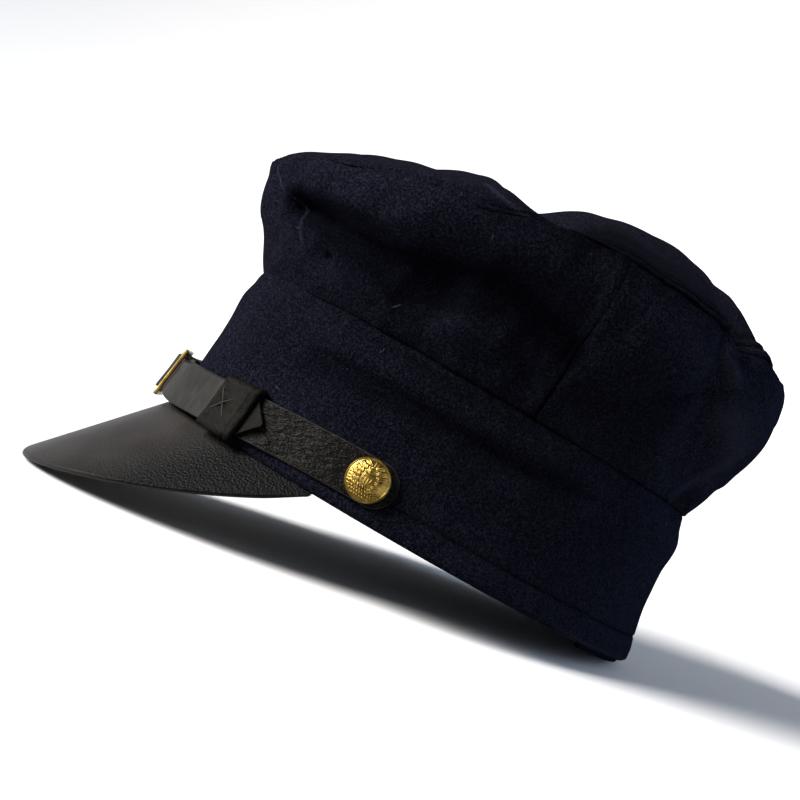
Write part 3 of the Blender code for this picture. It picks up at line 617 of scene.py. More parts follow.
class Finish:
    """A material and the nodes that make it."""

    def __init__(self, name):
        self.material = bpy.data.materials.new(name)
        self.material.use_nodes = True
        self.tree = self.material.node_tree
        self.tree.nodes.clear()
        self.place = self.node("ShaderNodeTexCoord", output="Object")

    def node(self, kind, settings=None, values=None, output=0):
        """Adds a node: its settings come first, then what its sockets hold or are linked to."""
        made = self.tree.nodes.new(kind)
        for setting, value in (settings or {}).items():
            setattr(made, setting, value)
        for socket, value in (values or {}).items():
            if isinstance(value, Wire):
                self.tree.links.new(value.socket, made.inputs[socket])
            else:
                made.inputs[socket].default_value = value
        return Wire(self, made.outputs[output])

    def noise(self, scale, detail=2.0, roughness=0.5, at=None):
        values = {"Vector": at or self.place, "Scale": scale, "Detail": detail, "Roughness": roughness}
        return self.node("ShaderNodeTexNoise", None, values)

    def cells(self, scale, feature="F1", output="Distance"):
        values = {"Vector": self.place, "Scale": scale}
        return self.node("ShaderNodeTexVoronoi", {"feature": feature}, values, output)

    def stretched(self, *scale):
        """Coordinates scaled by their own amount on each axis."""
        return self.node("ShaderNodeMapping", None, {"Vector": self.place, "Scale": scale})

    def mix(self, share, low, high):
        """One colour turning into another."""
        settings = {"data_type": "RGBA"}
        return self.node("ShaderNodeMix", settings, {0: share, 6: low, 7: high}, output=2)

    def bump(self, height, strength, distance):
        values = {"Height": height, "Strength": strength, "Distance": distance}
        return self.node("ShaderNodeBump", None, values)

    def surface(self, **sockets):
        """Closes the material with a Principled shader, whose sockets are named with low lines for spaces."""
        values = {name.replace("_", " "): value for name, value in sockets.items()}
        shader = self.node("ShaderNodeBsdfPrincipled", None, values)
        end = self.tree.nodes.new("ShaderNodeOutputMaterial")
        self.tree.links.new(shader.socket, end.inputs["Surface"])
        return self.material


def make_wool():
    """Navy melton: a short felted nap over a dense cloth, with stray light fibres. Where its points ask, it
    takes painted shade or painted highlight.
    """
    wool = Finish("navy_wool_melton")
    mottle = wool.noise(45, 3)
    clumps = wool.noise(330, 3, 0.6)
    tufts = wool.noise(1000, 2, 0.6)
    nap = wool.noise(2200, 2, 0.7)
    ground = wool.mix(mottle.rise(0.3, 0.7), (0.0006, 0.0008, 0.0018, 1), (0.0010, 0.0012, 0.0024, 1))
    felt = wool.mix(clumps.rise(0.35, 0.70) * 0.25, ground, (0.0011, 0.0012, 0.0022, 1))
    hairs = wool.mix((tufts * 0.35 + nap * 0.65).rise(0.44, 0.66), felt, (0.0086, 0.0087, 0.0134, 1))
    lint = wool.cells(75).rise(0.030, 0.010)
    chosen = wool.node("ShaderNodeSeparateColor", None, {"Color": wool.cells(75, output="Color")})
    dusty = wool.mix(lint * chosen.rise(0.62, 0.66), hairs, (0.035, 0.036, 0.040, 1))
    # Each point's attribute turns the wool near black above 0, as painted shade, and a lighter blue below 0,
    # as painted highlight.
    painted_shading = wool.node("ShaderNodeAttribute", {"attribute_name": "painted_shading"}, output="Fac")
    lifted = wool.mix(painted_shading * -0.35, dusty, (0.0190, 0.0200, 0.0290, 1))
    sewn = wool.mix(painted_shading * 0.92, lifted, (0.0002, 0.0002, 0.0005, 1))
    relief = nap * 0.3 + tufts * 0.6 + clumps * 0.5
    return wool.surface(
        Base_Color=sewn,
        Roughness=1.0,
        Specular_IOR_Level=0.0,
        Sheen_Weight=0.003,
        Sheen_Roughness=0.5,
        Sheen_Tint=(0.70, 0.75, 1.0, 1),
        Normal=wool.bump(relief, 1.0, 0.0008),
    )


def make_peak_leather():
    """Dressed black leather with a fine pebble and a satin face, darker towards its sides as painted shade.
    """
    leather = Finish("peak_leather_pebbled")
    pebble = leather.cells(1150, "SMOOTH_F1")
    fine = leather.noise(2600, 3, 0.6)
    broad = leather.noise(60, 3)
    pits = leather.cells(160).rise(0.10, 0.04)
    apart = leather.node("ShaderNodeSeparateXYZ", None, {"Vector": leather.place})
    # Painted shade: towards the peak's sides, which turn from the light, the colour darkens; the pebble there
    # is also coarser and the face duller.
    side = (apart * apart).rise(0.0006, 0.0036)
    worn = leather.mix(broad.rise(0.3, 0.7), (0.0090, 0.0079, 0.0072, 1), (0.0130, 0.0117, 0.0108, 1))
    colour = leather.mix(side, worn, (0.0007, 0.0007, 0.0007, 1))
    relief = (pebble * 0.8 + fine * 0.45) * (side * 2.2 + 0.9) - pits * 0.6
    gloss = broad * 0.08 + fine * 0.10 + side * 0.10 + 0.30
    return leather.surface(
        Base_Color=colour,
        Roughness=gloss,
        Specular_IOR_Level=0.045,
        Normal=leather.bump(relief, 0.45, 0.0004),
    )


def make_peak_edge():
    """The burnished cut edge of the peak."""
    edge = Finish("peak_leather_edge")
    fibres = edge.noise(1500, 3, 0.6)
    colour = edge.mix(fibres.rise(0.3, 0.7), (0.005, 0.0045, 0.004, 1), (0.012, 0.011, 0.0098, 1))
    return edge.surface(
        Base_Color=colour,
        Roughness=fibres * 0.2 + 0.40,
        Specular_IOR_Level=0.10,
        Normal=edge.bump(fibres, 0.35, 0.0003),
    )


def make_strap_grain():
    """The strap's grain side: fine long wrinkles over a close pebble."""
    grain = Finish("strap_leather_grain")
    wrinkles = grain.noise(760, 3, 0.6, at=grain.stretched(0.30, 0.30, 1.0))
    pebble = grain.cells(1300, "SMOOTH_F1")
    broad = grain.noise(150, 3)
    colour = grain.mix(broad.rise(0.3, 0.7), (0.0012, 0.0011, 0.0010, 1), (0.0026, 0.0024, 0.0021, 1))
    relief = wrinkles * 1.3 + pebble * 0.15
    return grain.surface(
        Base_Color=colour,
        Roughness=wrinkles * 0.20 + 0.24,
        Specular_IOR_Level=0.035,
        Normal=grain.bump(relief, 1.0, 0.0009),
    )


def make_strap_smooth():
    """The strap's other side, smooth and matt, and its pale cut edge."""
    matt = Finish("strap_leather_smooth")
    fine = matt.noise(2200, 3, 0.6)
    streaks = matt.noise(420, 2, 0.5, at=matt.stretched(1.0, 1.0, 0.12))
    colour = matt.mix(streaks.rise(0.3, 0.7), (0.0066, 0.0060, 0.0052, 1), (0.0112, 0.0101, 0.0088, 1))
    return matt.surface(
        Base_Color=colour,
        Roughness=fine * 0.2 + 0.42,
        Specular_IOR_Level=0.05,
        Normal=matt.bump(fine + streaks, 0.25, 0.0003),
    )


def make_keeper_leather():
    """The keeper's leather, darker and greener than the strap's."""
    leather = Finish("keeper_leather")
    fine = leather.noise(1700, 3, 0.6)
    broad = leather.noise(140, 3)
    colour = leather.mix(broad.rise(0.3, 0.7), (0.0016, 0.0016, 0.0012, 1), (0.0030, 0.0028, 0.0021, 1))
    return leather.surface(
        Base_Color=colour,
        Roughness=fine * 0.2 + 0.36,
        Specular_IOR_Level=0.02,
        Normal=leather.bump(fine + broad, 0.60, 0.0005),
    )


def make_brass():
    """Gilt brass, a little tarnished here and there."""
    brass = Finish("gilt_brass_worn")
    grime = brass.noise(900, 3, 0.6)
    wear = brass.noise(250, 3)
    colour = brass.mix(wear.rise(0.35, 0.7), (0.14, 0.088, 0.019, 1), (0.26, 0.178, 0.043, 1))
    return brass.surface(
        Base_Color=colour,
        Metallic=1.0,
        Roughness=grime * 0.25 + 0.22,
        Normal=brass.bump(grime, 0.10, 0.0002),
    )


def make_thread(name, colour):
    """Waxed sewing thread."""
    thread = Finish(name)
    twist = thread.noise(2500, 2)
    dark = tuple(part * 0.6 for part in colour)
    return thread.surface(
        Base_Color=thread.mix(twist.rise(0.3, 0.7), (*dark, 1), (*colour, 1)),
        Roughness=0.8,
        Specular_IOR_Level=0.0,
        Normal=thread.bump(twist, 0.4, 0.0002),
    )


def place_camera():
    """The photograph's view: from the wearer's left and a little to the front, rolled about its own axis."""
    yaw, rise, roll = math.radians(14.0), math.radians(-1.0), math.radians(30.1)
    distance, half_width = 0.650, 400 * 0.0004047
    toward = Vector((math.cos(yaw) * math.cos(rise), -math.sin(yaw) * math.cos(rise), math.sin(rise)))
    right = Vector((math.sin(yaw), math.cos(yaw), 0))
    up = toward.cross(right)
    centre = right * -0.0268 + up * 0.04535
    across = right * math.cos(roll) + up * math.sin(roll)
    upward = up * math.cos(roll) - right * math.sin(roll)
    turn = Matrix((across, upward, toward)).transposed().to_4x4()
    data = bpy.data.cameras.new("photo_camera")
    data.angle = 2 * math.atan(half_width / distance)
    data.clip_start = 0.01
    camera = bpy.data.objects.new("photo_camera", data)
    bpy.context.scene.collection.objects.link(camera)
    camera.matrix_world = REST @ Matrix.Translation(centre + toward * distance) @ turn
    bpy.context.scene.camera = camera


def puckers(points, edge, reach, depth):
    """Small dimples along a sewn edge, fading away from it."""
    return ripple(points, 7, 0.0075, depth) * line(edge, 0, reach)


def stitched(points, longest):
    """Between 0.4 and 1 along a seam: how strongly the painted shade along it falls, as its thread pulls in
    more here and less there.
    """
    return 0.7 + 0.3 * np.clip(ripple(points, 13, longest, 1.0), -1, 1)


def both_faces(points, out, depth):
    """The cloth's outer face, and its inner face, which goes in with each crease but not out with a bulge."""
    inward = (np.minimum(depth, 0) - WOOL)[..., None]
    return points + out * depth[..., None], points + out * inward


def back_windows(angle):
    """Where the top seam draws in more, behind the side seams, and how much of that the very back keeps."""
    degrees = np.degrees(angle) % 360
    return between(degrees, 74, 8, 286, 8), 1 - 0.7 * between(degrees, 122, 12, 238, 12)


def build_band(wool):
    """The band: one strip round the head, hemmed at the rim, with a line of stitches above the hem."""
    angle = np.linspace(0, math.tau, BAND_COLUMNS)[None, :]
    climb = np.linspace(-1.0, -SEAM_GAP / 2 / BAND_HEIGHT, BAND_ROWS)[:, None]
    points = cloth(angle, climb)
    degrees = np.degrees(angle)
    up, down = run_along(points, 0)
    shown = between(degrees, 30, 25, 330, 25)
    rear = between(degrees, 112, 12, 190, 10)
    depth = crease_depth(angle, climb) * ease(up / 0.010)
    depth += ripple(points, 3, 0.030, 0.00025) * ease(up / 0.006)
    depth -= turned_in(up, HEM_ROUND) + turned_in(down, BAND_SEAM_ROUND) * shown
    depth += puckers(points, down, 0.004, 0.00032) * shown
    depth += 0.0003 * line(up, 0.0055, 0.003) - 0.00055 * line(up, HEM_LINE, 0.0005)
    depth += 0.0003 * line(down, 0.0030, 0.0018)
    # Painted shade in the hem's groove and along the band's top seam, over the strokes' painted shade;
    # lighter along the rim's edge at the back.
    painted_shading = painted_shade(angle, climb) + line(up, HEM_LINE, 0.0006) * 0.55 * stitched(points, LONG_PULL)
    painted_shading -= line(up, 0.0005, 0.0006) * rear * 0.9
    painted_shading += line(down, 0.0, 0.0005) * (0.15 + 0.3 * shown) * stitched(points, SHORT_PULL)
    outer, inner = both_faces(points, facing(angle, climb), depth)
    inner = inner[::-2]
    inner[-1, :, 2] = 0.0
    painted_shading = np.concatenate((painted_shading, inner[..., 0] * 0, painted_shading[:1]))
    band = lay_sheet("band_cloth", np.concatenate((outer, inner, outer[:1])), weld=True, painted_shading=painted_shading)
    shade(band)
    hand_over(band, "navy_wool", [wool], "band")


def seam_angle(index, climb):
    """Where a side seam of the wall lies at each climb."""
    _, low, high = CROWN_SEAMS[index % len(CROWN_SEAMS)]
    turn = 360 * (index // len(CROWN_SEAMS))
    return np.radians(low + (high - low) * climb + turn)


def build_crown_walls(wool):
    """The wall's panels, each turned in along its seams. The front seam stands up as a ridge."""
    inset = SEAM_GAP / 2 / (EDGE_FRONT - BAND_HEIGHT)
    share = np.linspace(inset, 1 - inset, WALL_ROWS)[:, None]
    for index, (name, low, high) in enumerate(CROWN_SEAMS):
        aside = SEAM_GAP / HEAD_WIDTH * (1.6 if abs(high - low) > 5 else 1.0)
        start = seam_angle(index, share) + aside
        end = seam_angle(index + 1, share) - aside
        columns = WALL_COLUMNS.get(name, FAR_WALL_COLUMNS)
        angle = start + (end - start) * np.linspace(0, 1, columns)[None, :]
        climb = share + (seam_climb(angle) - 1) * ease((share - 0.55) / 0.45)
        points = rounded_cloth(angle, climb)
        left, right = run_along(points, 1)
        up, down = run_along(points, 0)
        depth = crease_depth(angle, climb) + ripple(points, 3, 0.026, 0.00045)
        painted_shading = painted_shade(angle, climb)
        for edge, seam in ((left, index), (right, index + 1)):
            if seam == 1:
                ridge = ease((share - 0.24) / 0.10) * ease((0.97 - share) / 0.06)
                depth += 0.0013 * ridge * line(edge, 0, 0.0011) - turned_in(edge, 0.0002)
                # A painted highlight along the top of the front seam's ridge.
                painted_shading -= ridge * line(edge, 0.0002, 0.0006) * 0.9
                depth -= (0.0014 if index == 0 else 0.0004) * ridge * line(edge, 0.0026, 0.0016)
            else:
                lower = ease((0.75 - share) / 0.4)
                # Painted shade in the seam's groove, stronger lower down.
                painted_shading += line(edge, 0, 0.0007) * (0.25 + 0.7 * lower)
                depth += 0.0004 * line(edge, 0.0028, 0.0016)
                depth -= turned_in(edge, SIDE_SEAM_ROUND) * (0.35 + 0.65 * lower)
            depth += puckers(points, edge, 0.0035, 0.00016)
        shown = between(np.degrees(angle) % 360, 30, 25, 330, 25)
        behind, level = back_windows(angle)
        drawn = turned_in(down, TOP_SEAM_ROUND) * (0.25 + 0.75 * behind) * level
        depth -= turned_in(up, BAND_SEAM_ROUND) * shown + drawn
        depth += puckers(points, up, 0.004, 0.00032) * shown + puckers(points, down, 0.004, 0.00026)
        # Painted shade along the band seam and the top seam.
        painted_shading += line(up, 0, 0.0005) * (0.25 + 0.5 * shown) * stitched(points, SHORT_PULL)
        painted_shading += line(down, 0, 0.0009) * (0.15 + 0.7 * behind) * stitched(points, LONG_PULL)
        panel = lay_wall(name + "_cloth", *both_faces(points, facing(angle, climb), depth), painted_shading)
        shade(panel)
        hand_over(panel, "navy_wool", [wool], name)


def round_net(count):
    """A square net pulled out to a disc: the way that each point lies from the middle, and how far out."""
    across, along = np.meshgrid(np.linspace(-1, 1, count), np.linspace(-1, 1, count))
    wide = np.abs(across) > np.abs(along)
    reach = np.where(wide, across, along)
    safe = np.where(reach == 0, 1.0, reach)
    turn = np.where(wide, along / safe, 2 - across / safe) * math.pi / 4
    return reach * np.cos(turn), reach * np.sin(turn), np.abs(reach)


def build_crown_top(wool):
    """The round top piece, sewn to the wall at the crown's edge, with two lines of stitches at its back."""
    across, along, reach = round_net(TOP_NET)
    angle = np.arctan2(across, -along)
    climb = 2 - reach * (1 - SEAM_GAP / 2 / HEAD_WIDTH) * (2 - seam_climb(angle))
    points = rounded_cloth(angle, climb)
    edge = np.linalg.norm(points - rounded_cloth(angle, seam_climb(angle)), axis=-1)
    behind, level = back_windows(angle)
    depth = crease_depth(angle, climb) + ripple(points, 3, 0.034, 0.00045)
    drawn = turned_in(edge, TOP_SEAM_ROUND) * (0.5 + 0.5 * behind) * level
    depth += puckers(points, edge, 0.004, 0.00026) - drawn
    held = stitched(points, LONG_PULL)
    # Painted shade along the top seam and in the grooves of its stitch lines.
    painted_shading = painted_shade(angle, climb) + line(edge, 0, 0.0009) * (0.35 + 0.5 * behind) * held
    stitches = ((0.0026 + 0.0026 * behind, 0.0008, 1.0), (0.0100 * behind, 0.0014, 0.7 * behind))
    for place, width, strength in stitches:
        depth -= 0.0009 * line(edge, place, width) * strength
        painted_shading += line(edge, place, width) * (0.30 + 0.70 * behind) * strength * held
    top = lay_wall("crown_top_cloth", *both_faces(points, facing(angle, climb), depth), painted_shading)
    shade(top)
    hand_over(top, "navy_wool", [wool], "crown_top")


def build_neck_flap(wool):
    """The flap: one thin strip doubled over, its fold just below the back of the rim."""
    half = math.radians(FLAP_HALF_ANGLE)
    angle = np.linspace(math.pi - half, math.pi + half, 150)[None, :]
    turns = np.linspace(0, math.pi, 13)
    fold = (FLAP_CLOTH - FLAP_LAYER) / 2
    low = -FLAP_DROP + fold + FLAP_LAYER / 2
    legs = np.linspace(FLAP_HEIGHT, low, 24)[:-1]
    height = np.concatenate((legs, low - fold * np.sin(turns), legs[::-1]))[:, None]
    off = np.concatenate((legs * 0, fold * (1 - np.cos(turns)), legs * 0 + fold * 2))[:, None]
    wall = cloth(angle, np.clip(height / BAND_HEIGHT - 1, -1.0, 0.0))
    wall[..., 2] = height
    inward = oval_normal(angle) * (WOOL + GAP + FLAP_LAYER / 2 + off)[..., None]
    flap = lay_sheet("neck_flap_cloth", (wall - inward)[::-1])
    apply(flap, "SOLIDIFY", thickness=FLAP_LAYER, offset=0)
    shade(flap)
    hand_over(flap, "navy_wool", [wool], "neck_flap")


def lengths_along(path):
    """How far along a path each of its points is."""
    return run_along(path, 0)[0]


RUN_ANGLES = np.linspace(0, math.pi, 721)
RUN_LENGTHS = lengths_along(oval(RUN_ANGLES, 0))


def angle_at(run):
    """The angle at a distance round the rim from the middle of the front."""
    return np.copysign(np.interp(np.abs(run), RUN_LENGTHS, RUN_ANGLES), run)


def build_peak(leather, edge):
    """The peak: one thick leather, its face, its rounded edge and its back in one net. The net is open along
    its hidden edge too, so the one face that closes it also spans the front of the head opening."""
    share = np.linspace(-1, 1, PEAK_COLUMNS)[None, :]
    angle = angle_at(share * PEAK_HALF_RUN)
    turned = angle * PEAK_TURN
    slope = np.radians(PEAK_SLOPE + (PEAK_SIDE_SLOPE - PEAK_SLOPE) * share**2)
    depth = PEAK_END_DEPTH + (PEAK_DEPTH - PEAK_END_DEPTH) * (1 - np.abs(share) ** 1.7)
    out = np.stack((np.sin(turned) * np.cos(slope), -np.cos(turned) * np.cos(slope), -np.sin(slope)), axis=-1)
    root = oval(angle, 0, -GAP)
    tip = root + out * depth[..., None]
    along = np.gradient(root + out * depth[..., None] * 0.5, axis=1)
    normal = -unit(np.cross(along, out))
    thick = PEAK_LEATHER * (0.35 + 0.65 * ease((1 - np.abs(share)) / 0.12))[..., None]
    half = thick / 2
    turns = np.linspace(math.pi / 2, -math.pi / 2, 13)[:, None, None]
    reach = np.linspace(0, 1, PEAK_ROWS)[:, None, None]
    face = root + out * ((depth[..., None] - half) * reach)
    rounded = tip - normal * half + out * (half * (np.cos(turns) - 1)) + normal * (half * np.sin(turns))
    back = face[::-1][1::3] - normal * thick
    hidden = root - oval_normal(angle) * WOOL * np.linspace(1, 0, 6)[:-1, None, None]
    under = hidden[::-1] - np.array((0, 0, 1.0)) * thick
    points = np.concatenate((hidden, face, rounded, back, under), axis=0)
    peak = lay_sheet("peak_leather", points[::-1])
    close_ends(peak)
    shade(peak)
    hand_over(peak, "peak_leather", [leather, edge], "peak")
    faces = np.zeros(len(peak.data.polygons), dtype=np.int32)
    row = np.repeat(np.arange(len(points) - 1)[::-1], PEAK_COLUMNS - 1)
    faces[: len(row)] = (row >= PEAK_EDGE_FIRST) & (row <= PEAK_EDGE_LAST)
    peak.data.polygons.foreach_set("material_index", faces)


def strap_standoff(run):
    free = np.abs(run) - KEEPER_RUN - KEEPER_WIDTH / 2
    return GAP + (STRAP_STANDOFF - GAP) * (1 - ease(free / 0.020))


def strap_height(run):
    return STRAP_HEIGHT + STRAP_LIFT * ease(np.abs(run) / BUTTON_RUN)


def on_band(run, off, height):
    """Points that stand off the band's outer face."""
    angle = angle_at(run)
    return cloth(angle, height / BAND_HEIGHT - 1) + oval_normal(angle) * np.asarray(off)[..., None]


def layer_off(run, layer):
    return strap_standoff(run) + STRAP_LEATHER * (layer + 0.5) + GAP * layer


def facing_frame(run, off, height):
    """Axes for a piece laid on the strap, and its place: X along it to the left, Y up it and Z out of it."""
    top, bottom = (Vector(on_band(np.array(run), off, height + side * STRAP_WIDTH / 2)) for side in (1, -1))
    out = Vector(oval_normal(angle_at(np.array(run))))
    up = (top - bottom).normalized()
    along = up.cross(out).normalized()
    out = along.cross(up).normalized()
    return Matrix((along, up, out)).transposed(), (top + bottom) / 2


def buckle_off():
    return float(layer_off(BUCKLE_RUN, 1)) + STRAP_LEATHER / 2 + GAP + BUCKLE_THICKNESS / 2


def bar_place(along):
    """Run and offset of a bar of the flat buckle, at a distance along the frame from its middle."""
    turn, place = facing_frame(BUCKLE_RUN, buckle_off(), float(strap_height(BUCKLE_RUN)))
    bar = place + turn.col[0] * along
    run = BUCKLE_RUN + along
    for _ in range(4):
        away = bar - Vector(on_band(np.array(run), 0, STRAP_HEIGHT))
        out = Vector(oval_normal(angle_at(np.array(run))))
        run += away.x * -out.y + away.y * out.x
    return run, away.x * out.x + away.y * out.y


def wrap_path(bar_run, bar_off, side, clear):
    """The fold of a strap round an upright bar: in under it, round its outer side and over it."""
    low_off = float(layer_off(bar_run, 0))
    high_off = bar_off + BUCKLE_THICKNESS / 2 + GAP * 2 + STRAP_LEATHER / 2
    middle, radius = (low_off + high_off) / 2, (high_off - low_off) / 2
    reach = BUCKLE_BAR / 2 + GAP + STRAP_LEATHER / 2 + clear
    turns = np.radians(np.linspace(-90, 90, 25))
    return np.stack((bar_run + side * reach * np.cos(turns), middle + radius * np.sin(turns)), axis=-1)


def lay_strip(name, path, halves, side, finishes, sink=0.0, dark=None):
    """A strip of leather stood on edge along (run, off) pairs: its face, its edges and its back in one net.
    The first finish goes on its face, the second on its edges and back, and the third where dark says so."""
    along = unit(np.gradient(path, axis=0))
    aside = np.stack((-along[:, 1], along[:, 0]), axis=-1) * side
    half = STRAP_LEATHER / 2
    crown = np.linspace(-1, 1, 23)
    turns = np.radians(np.linspace(15, 165, 6))
    across = np.concatenate((crown, turns * 0 + 1, -crown[::2], turns * 0 - 1))
    lift = np.concatenate((crown * 0 + 1, np.cos(turns), crown[::2] * 0 - 1, -np.cos(turns)))
    swell = np.concatenate((crown * 0, np.sin(turns), crown[::2] * 0, -np.sin(turns)))
    across, lift, swell = (np.append(row, row[0])[:, None] for row in (across, lift, swell))
    room = np.maximum(halves - half * 0.5, half * 0.2)[None, :]
    height = strap_height(path[:, 0])[None, :] - sink + across * room + swell * half * 0.5
    run = path[None, :, 0] + lift * half * aside[None, :, 0]
    off = path[None, :, 1] + lift * half * aside[None, :, 1]
    strip = lay_sheet(name, on_band(run, off, height), weld=True)
    close_ends(strip)
    shade(strip, 60)
    for finish in finishes:
        strip.data.materials.append(finish)
    lengths = run.shape[1] - 1
    backs = np.zeros(len(strip.data.polygons), dtype=np.int32)
    laid = (run.shape[0] - 1) * lengths
    backs[(len(crown) - 1) * lengths : laid] = 1
    if dark is not None:
        backs[:laid][(backs[:laid] == 1) & dark[np.arange(laid) % lengths]] = 2
    strip.data.polygons.foreach_set("material_index", backs)
    return strip


def resampled(path, step):
    """A path with even steps, and how far along it each of its points is."""
    length = lengths_along(path)
    places = np.linspace(0, length[-1], int(length[-1] / step) + 1)
    return np.stack([np.interp(places, length, path[:, column]) for column in (0, 1)], axis=-1), places


def strap_path(runs, bar, over, share, back, lifted, step):
    """The way of a strap: along the band, round a bar, down over it and back on top of itself."""
    low = np.stack((runs, layer_off(runs, 0)), axis=-1)
    top = bar[-1, 1]
    down = np.stack((over, top + (layer_off(over, 1) - top) * ease(share)), axis=-1)
    last = np.stack((back, layer_off(back, 1) + lifted), axis=-1)
    return resampled(np.concatenate((low, bar, down, last)), step)


def round_end(from_end):
    half = STRAP_WIDTH / 2
    share = np.clip(from_end / half, 0, 1)
    return np.maximum(0.06, np.sqrt(1 - (1 - share) ** 2)) * half


def pointed_end(from_end):
    share = np.minimum(1.0, 0.10 + 0.90 * from_end / (STRAP_WIDTH * 0.46))
    return STRAP_WIDTH / 2 * share


def build_near_strap(finishes):
    """The strap from the left button, round the buckle's middle bar and back to its point past the keeper."""
    runs = np.linspace(BUTTON_RUN + STRAP_BEYOND_BUTTON, BUCKLE_RUN + 0.003, 240)
    bar = wrap_path(BUCKLE_RUN, buckle_off(), -1, STRAP_LEATHER * 0.5)
    share = np.linspace(0, 1, 14)
    window = BUCKLE_LENGTH / 2 - BUCKLE_BAR * 1.5
    over = BUCKLE_RUN + BUCKLE_BAR * 0.75 + window * 0.85 * share
    tip = KEEPER_RUN + KEEPER_WIDTH / 2 + POINT_PAST_KEEPER
    back = np.linspace(over[-1] + 0.001, tip, 120)
    lifted = 0.0009 * ease((back - tip + POINT_PAST_KEEPER) / POINT_PAST_KEEPER)
    path, places = strap_path(runs, bar, over, share, back, lifted, step=0.00055)
    halves = np.minimum(round_end(places), pointed_end(places[-1] - places))
    returned = ease((places - places[-1] + tip - over[-1]) / 0.010)
    past = places - places[-1] + tip - BUCKLE_RUN - BUCKLE_LENGTH / 2
    halves = halves * (1 - 0.16 * line(past, 0.002, 0.013))
    # The dark faces: painted shadow on the returned layer where it passes the buckle's end bar, and darker
    # leather on the point past the keeper.
    dark = (places > places[-1] - 0.0093) | (np.abs(past - 0.0004) < 0.0018)
    strap = lay_strip("strap_left_leather", path, halves, -1, finishes, returned * 0.0005, dark)
    hand_over(strap, "strap_leather", [], "strap_left")


def build_far_strap(finishes):
    """The strap from the right button to the buckle's far bar, turned back on itself and sewn down."""
    bar_run, bar_off = bar_place((BUCKLE_BAR - BUCKLE_LENGTH) / 2)
    runs = np.linspace(-BUTTON_RUN - STRAP_BEYOND_BUTTON, bar_run - 0.003, 200)
    bar = wrap_path(bar_run, bar_off, 1, GAP)
    share = np.linspace(0, 1, 10)[1:]
    over = bar_run - 0.005 * share
    back = np.linspace(over[-1] - 0.001, bar_run - 0.005 - FAR_TURN_BACK, 24)
    path, places = strap_path(runs, bar, over, share, back, lifted=0, step=0.0008)
    strap = lay_strip("strap_right_leather", path, round_end(places), 1, finishes)
    hand_over(strap, "strap_leather", [], "strap_right")


def lay_thread(name, path, radius):
    """A thread that runs along points of the rim's frame."""
    along = unit(np.gradient(path, axis=0))
    aside = unit(np.cross(along, np.array((0.31, 0.17, 0.94))))
    lift = np.cross(aside, along)
    turns = np.linspace(0, math.tau, 9)[:, None, None]
    thread = lay_sheet(name, path + radius * (np.cos(turns) * aside + np.sin(turns) * lift), weld=True)
    close_ends(thread)
    shade(thread, 80)
    return thread


def joined(name, pieces):
    """Several meshes made one, each with the finish that it has."""
    pick(*pieces)
    bpy.ops.object.join()
    pieces[0].name = pieces[0].data.name = name
    return pieces[0]


def keeper_stitches(high, tall, thread, dark):
    """The crossed stitches on the keeper's face and the needle holes along its folded edge."""
    pieces = []

    def sew(name, run, down, off, radius, finish):
        piece = lay_thread(name, on_band(run, off, strap_height(run) + (0.5 - down) * tall), radius)
        piece.data.materials.append(finish)
        pieces.append(piece)

    share = np.linspace(0, 1, 16)
    crossed = (((0.08, 0.15), (0.57, 0.77), 0.0), ((0.10, 0.72), (0.60, 0.26), 0.0004))
    for number, (start, end, lift) in enumerate(crossed):
        across, down = (a + (b - a) * share for a, b in zip(start, end))
        run = KEEPER_RUN + (across - 0.5) * KEEPER_WIDTH
        dip = 0.0006 * (1 - ease(share / 0.12) * ease((1 - share) / 0.12))
        off = high + 0.00050 - dip + lift * line(share, 0.5, 0.14)
        sew("cross_stitch_%d" % number, run, down, off, CROSS_THREAD, thread)
    short = share[:6]
    for number in range(9):
        run = KEEPER_RUN + KEEPER_WIDTH * 0.40 + short * 0.0008
        down = 0.06 + 0.105 * number + short * 0.19
        sew("edge_stitch_%d" % number, run, down, high + 0.00046, EDGE_THREAD, dark)
    return pieces


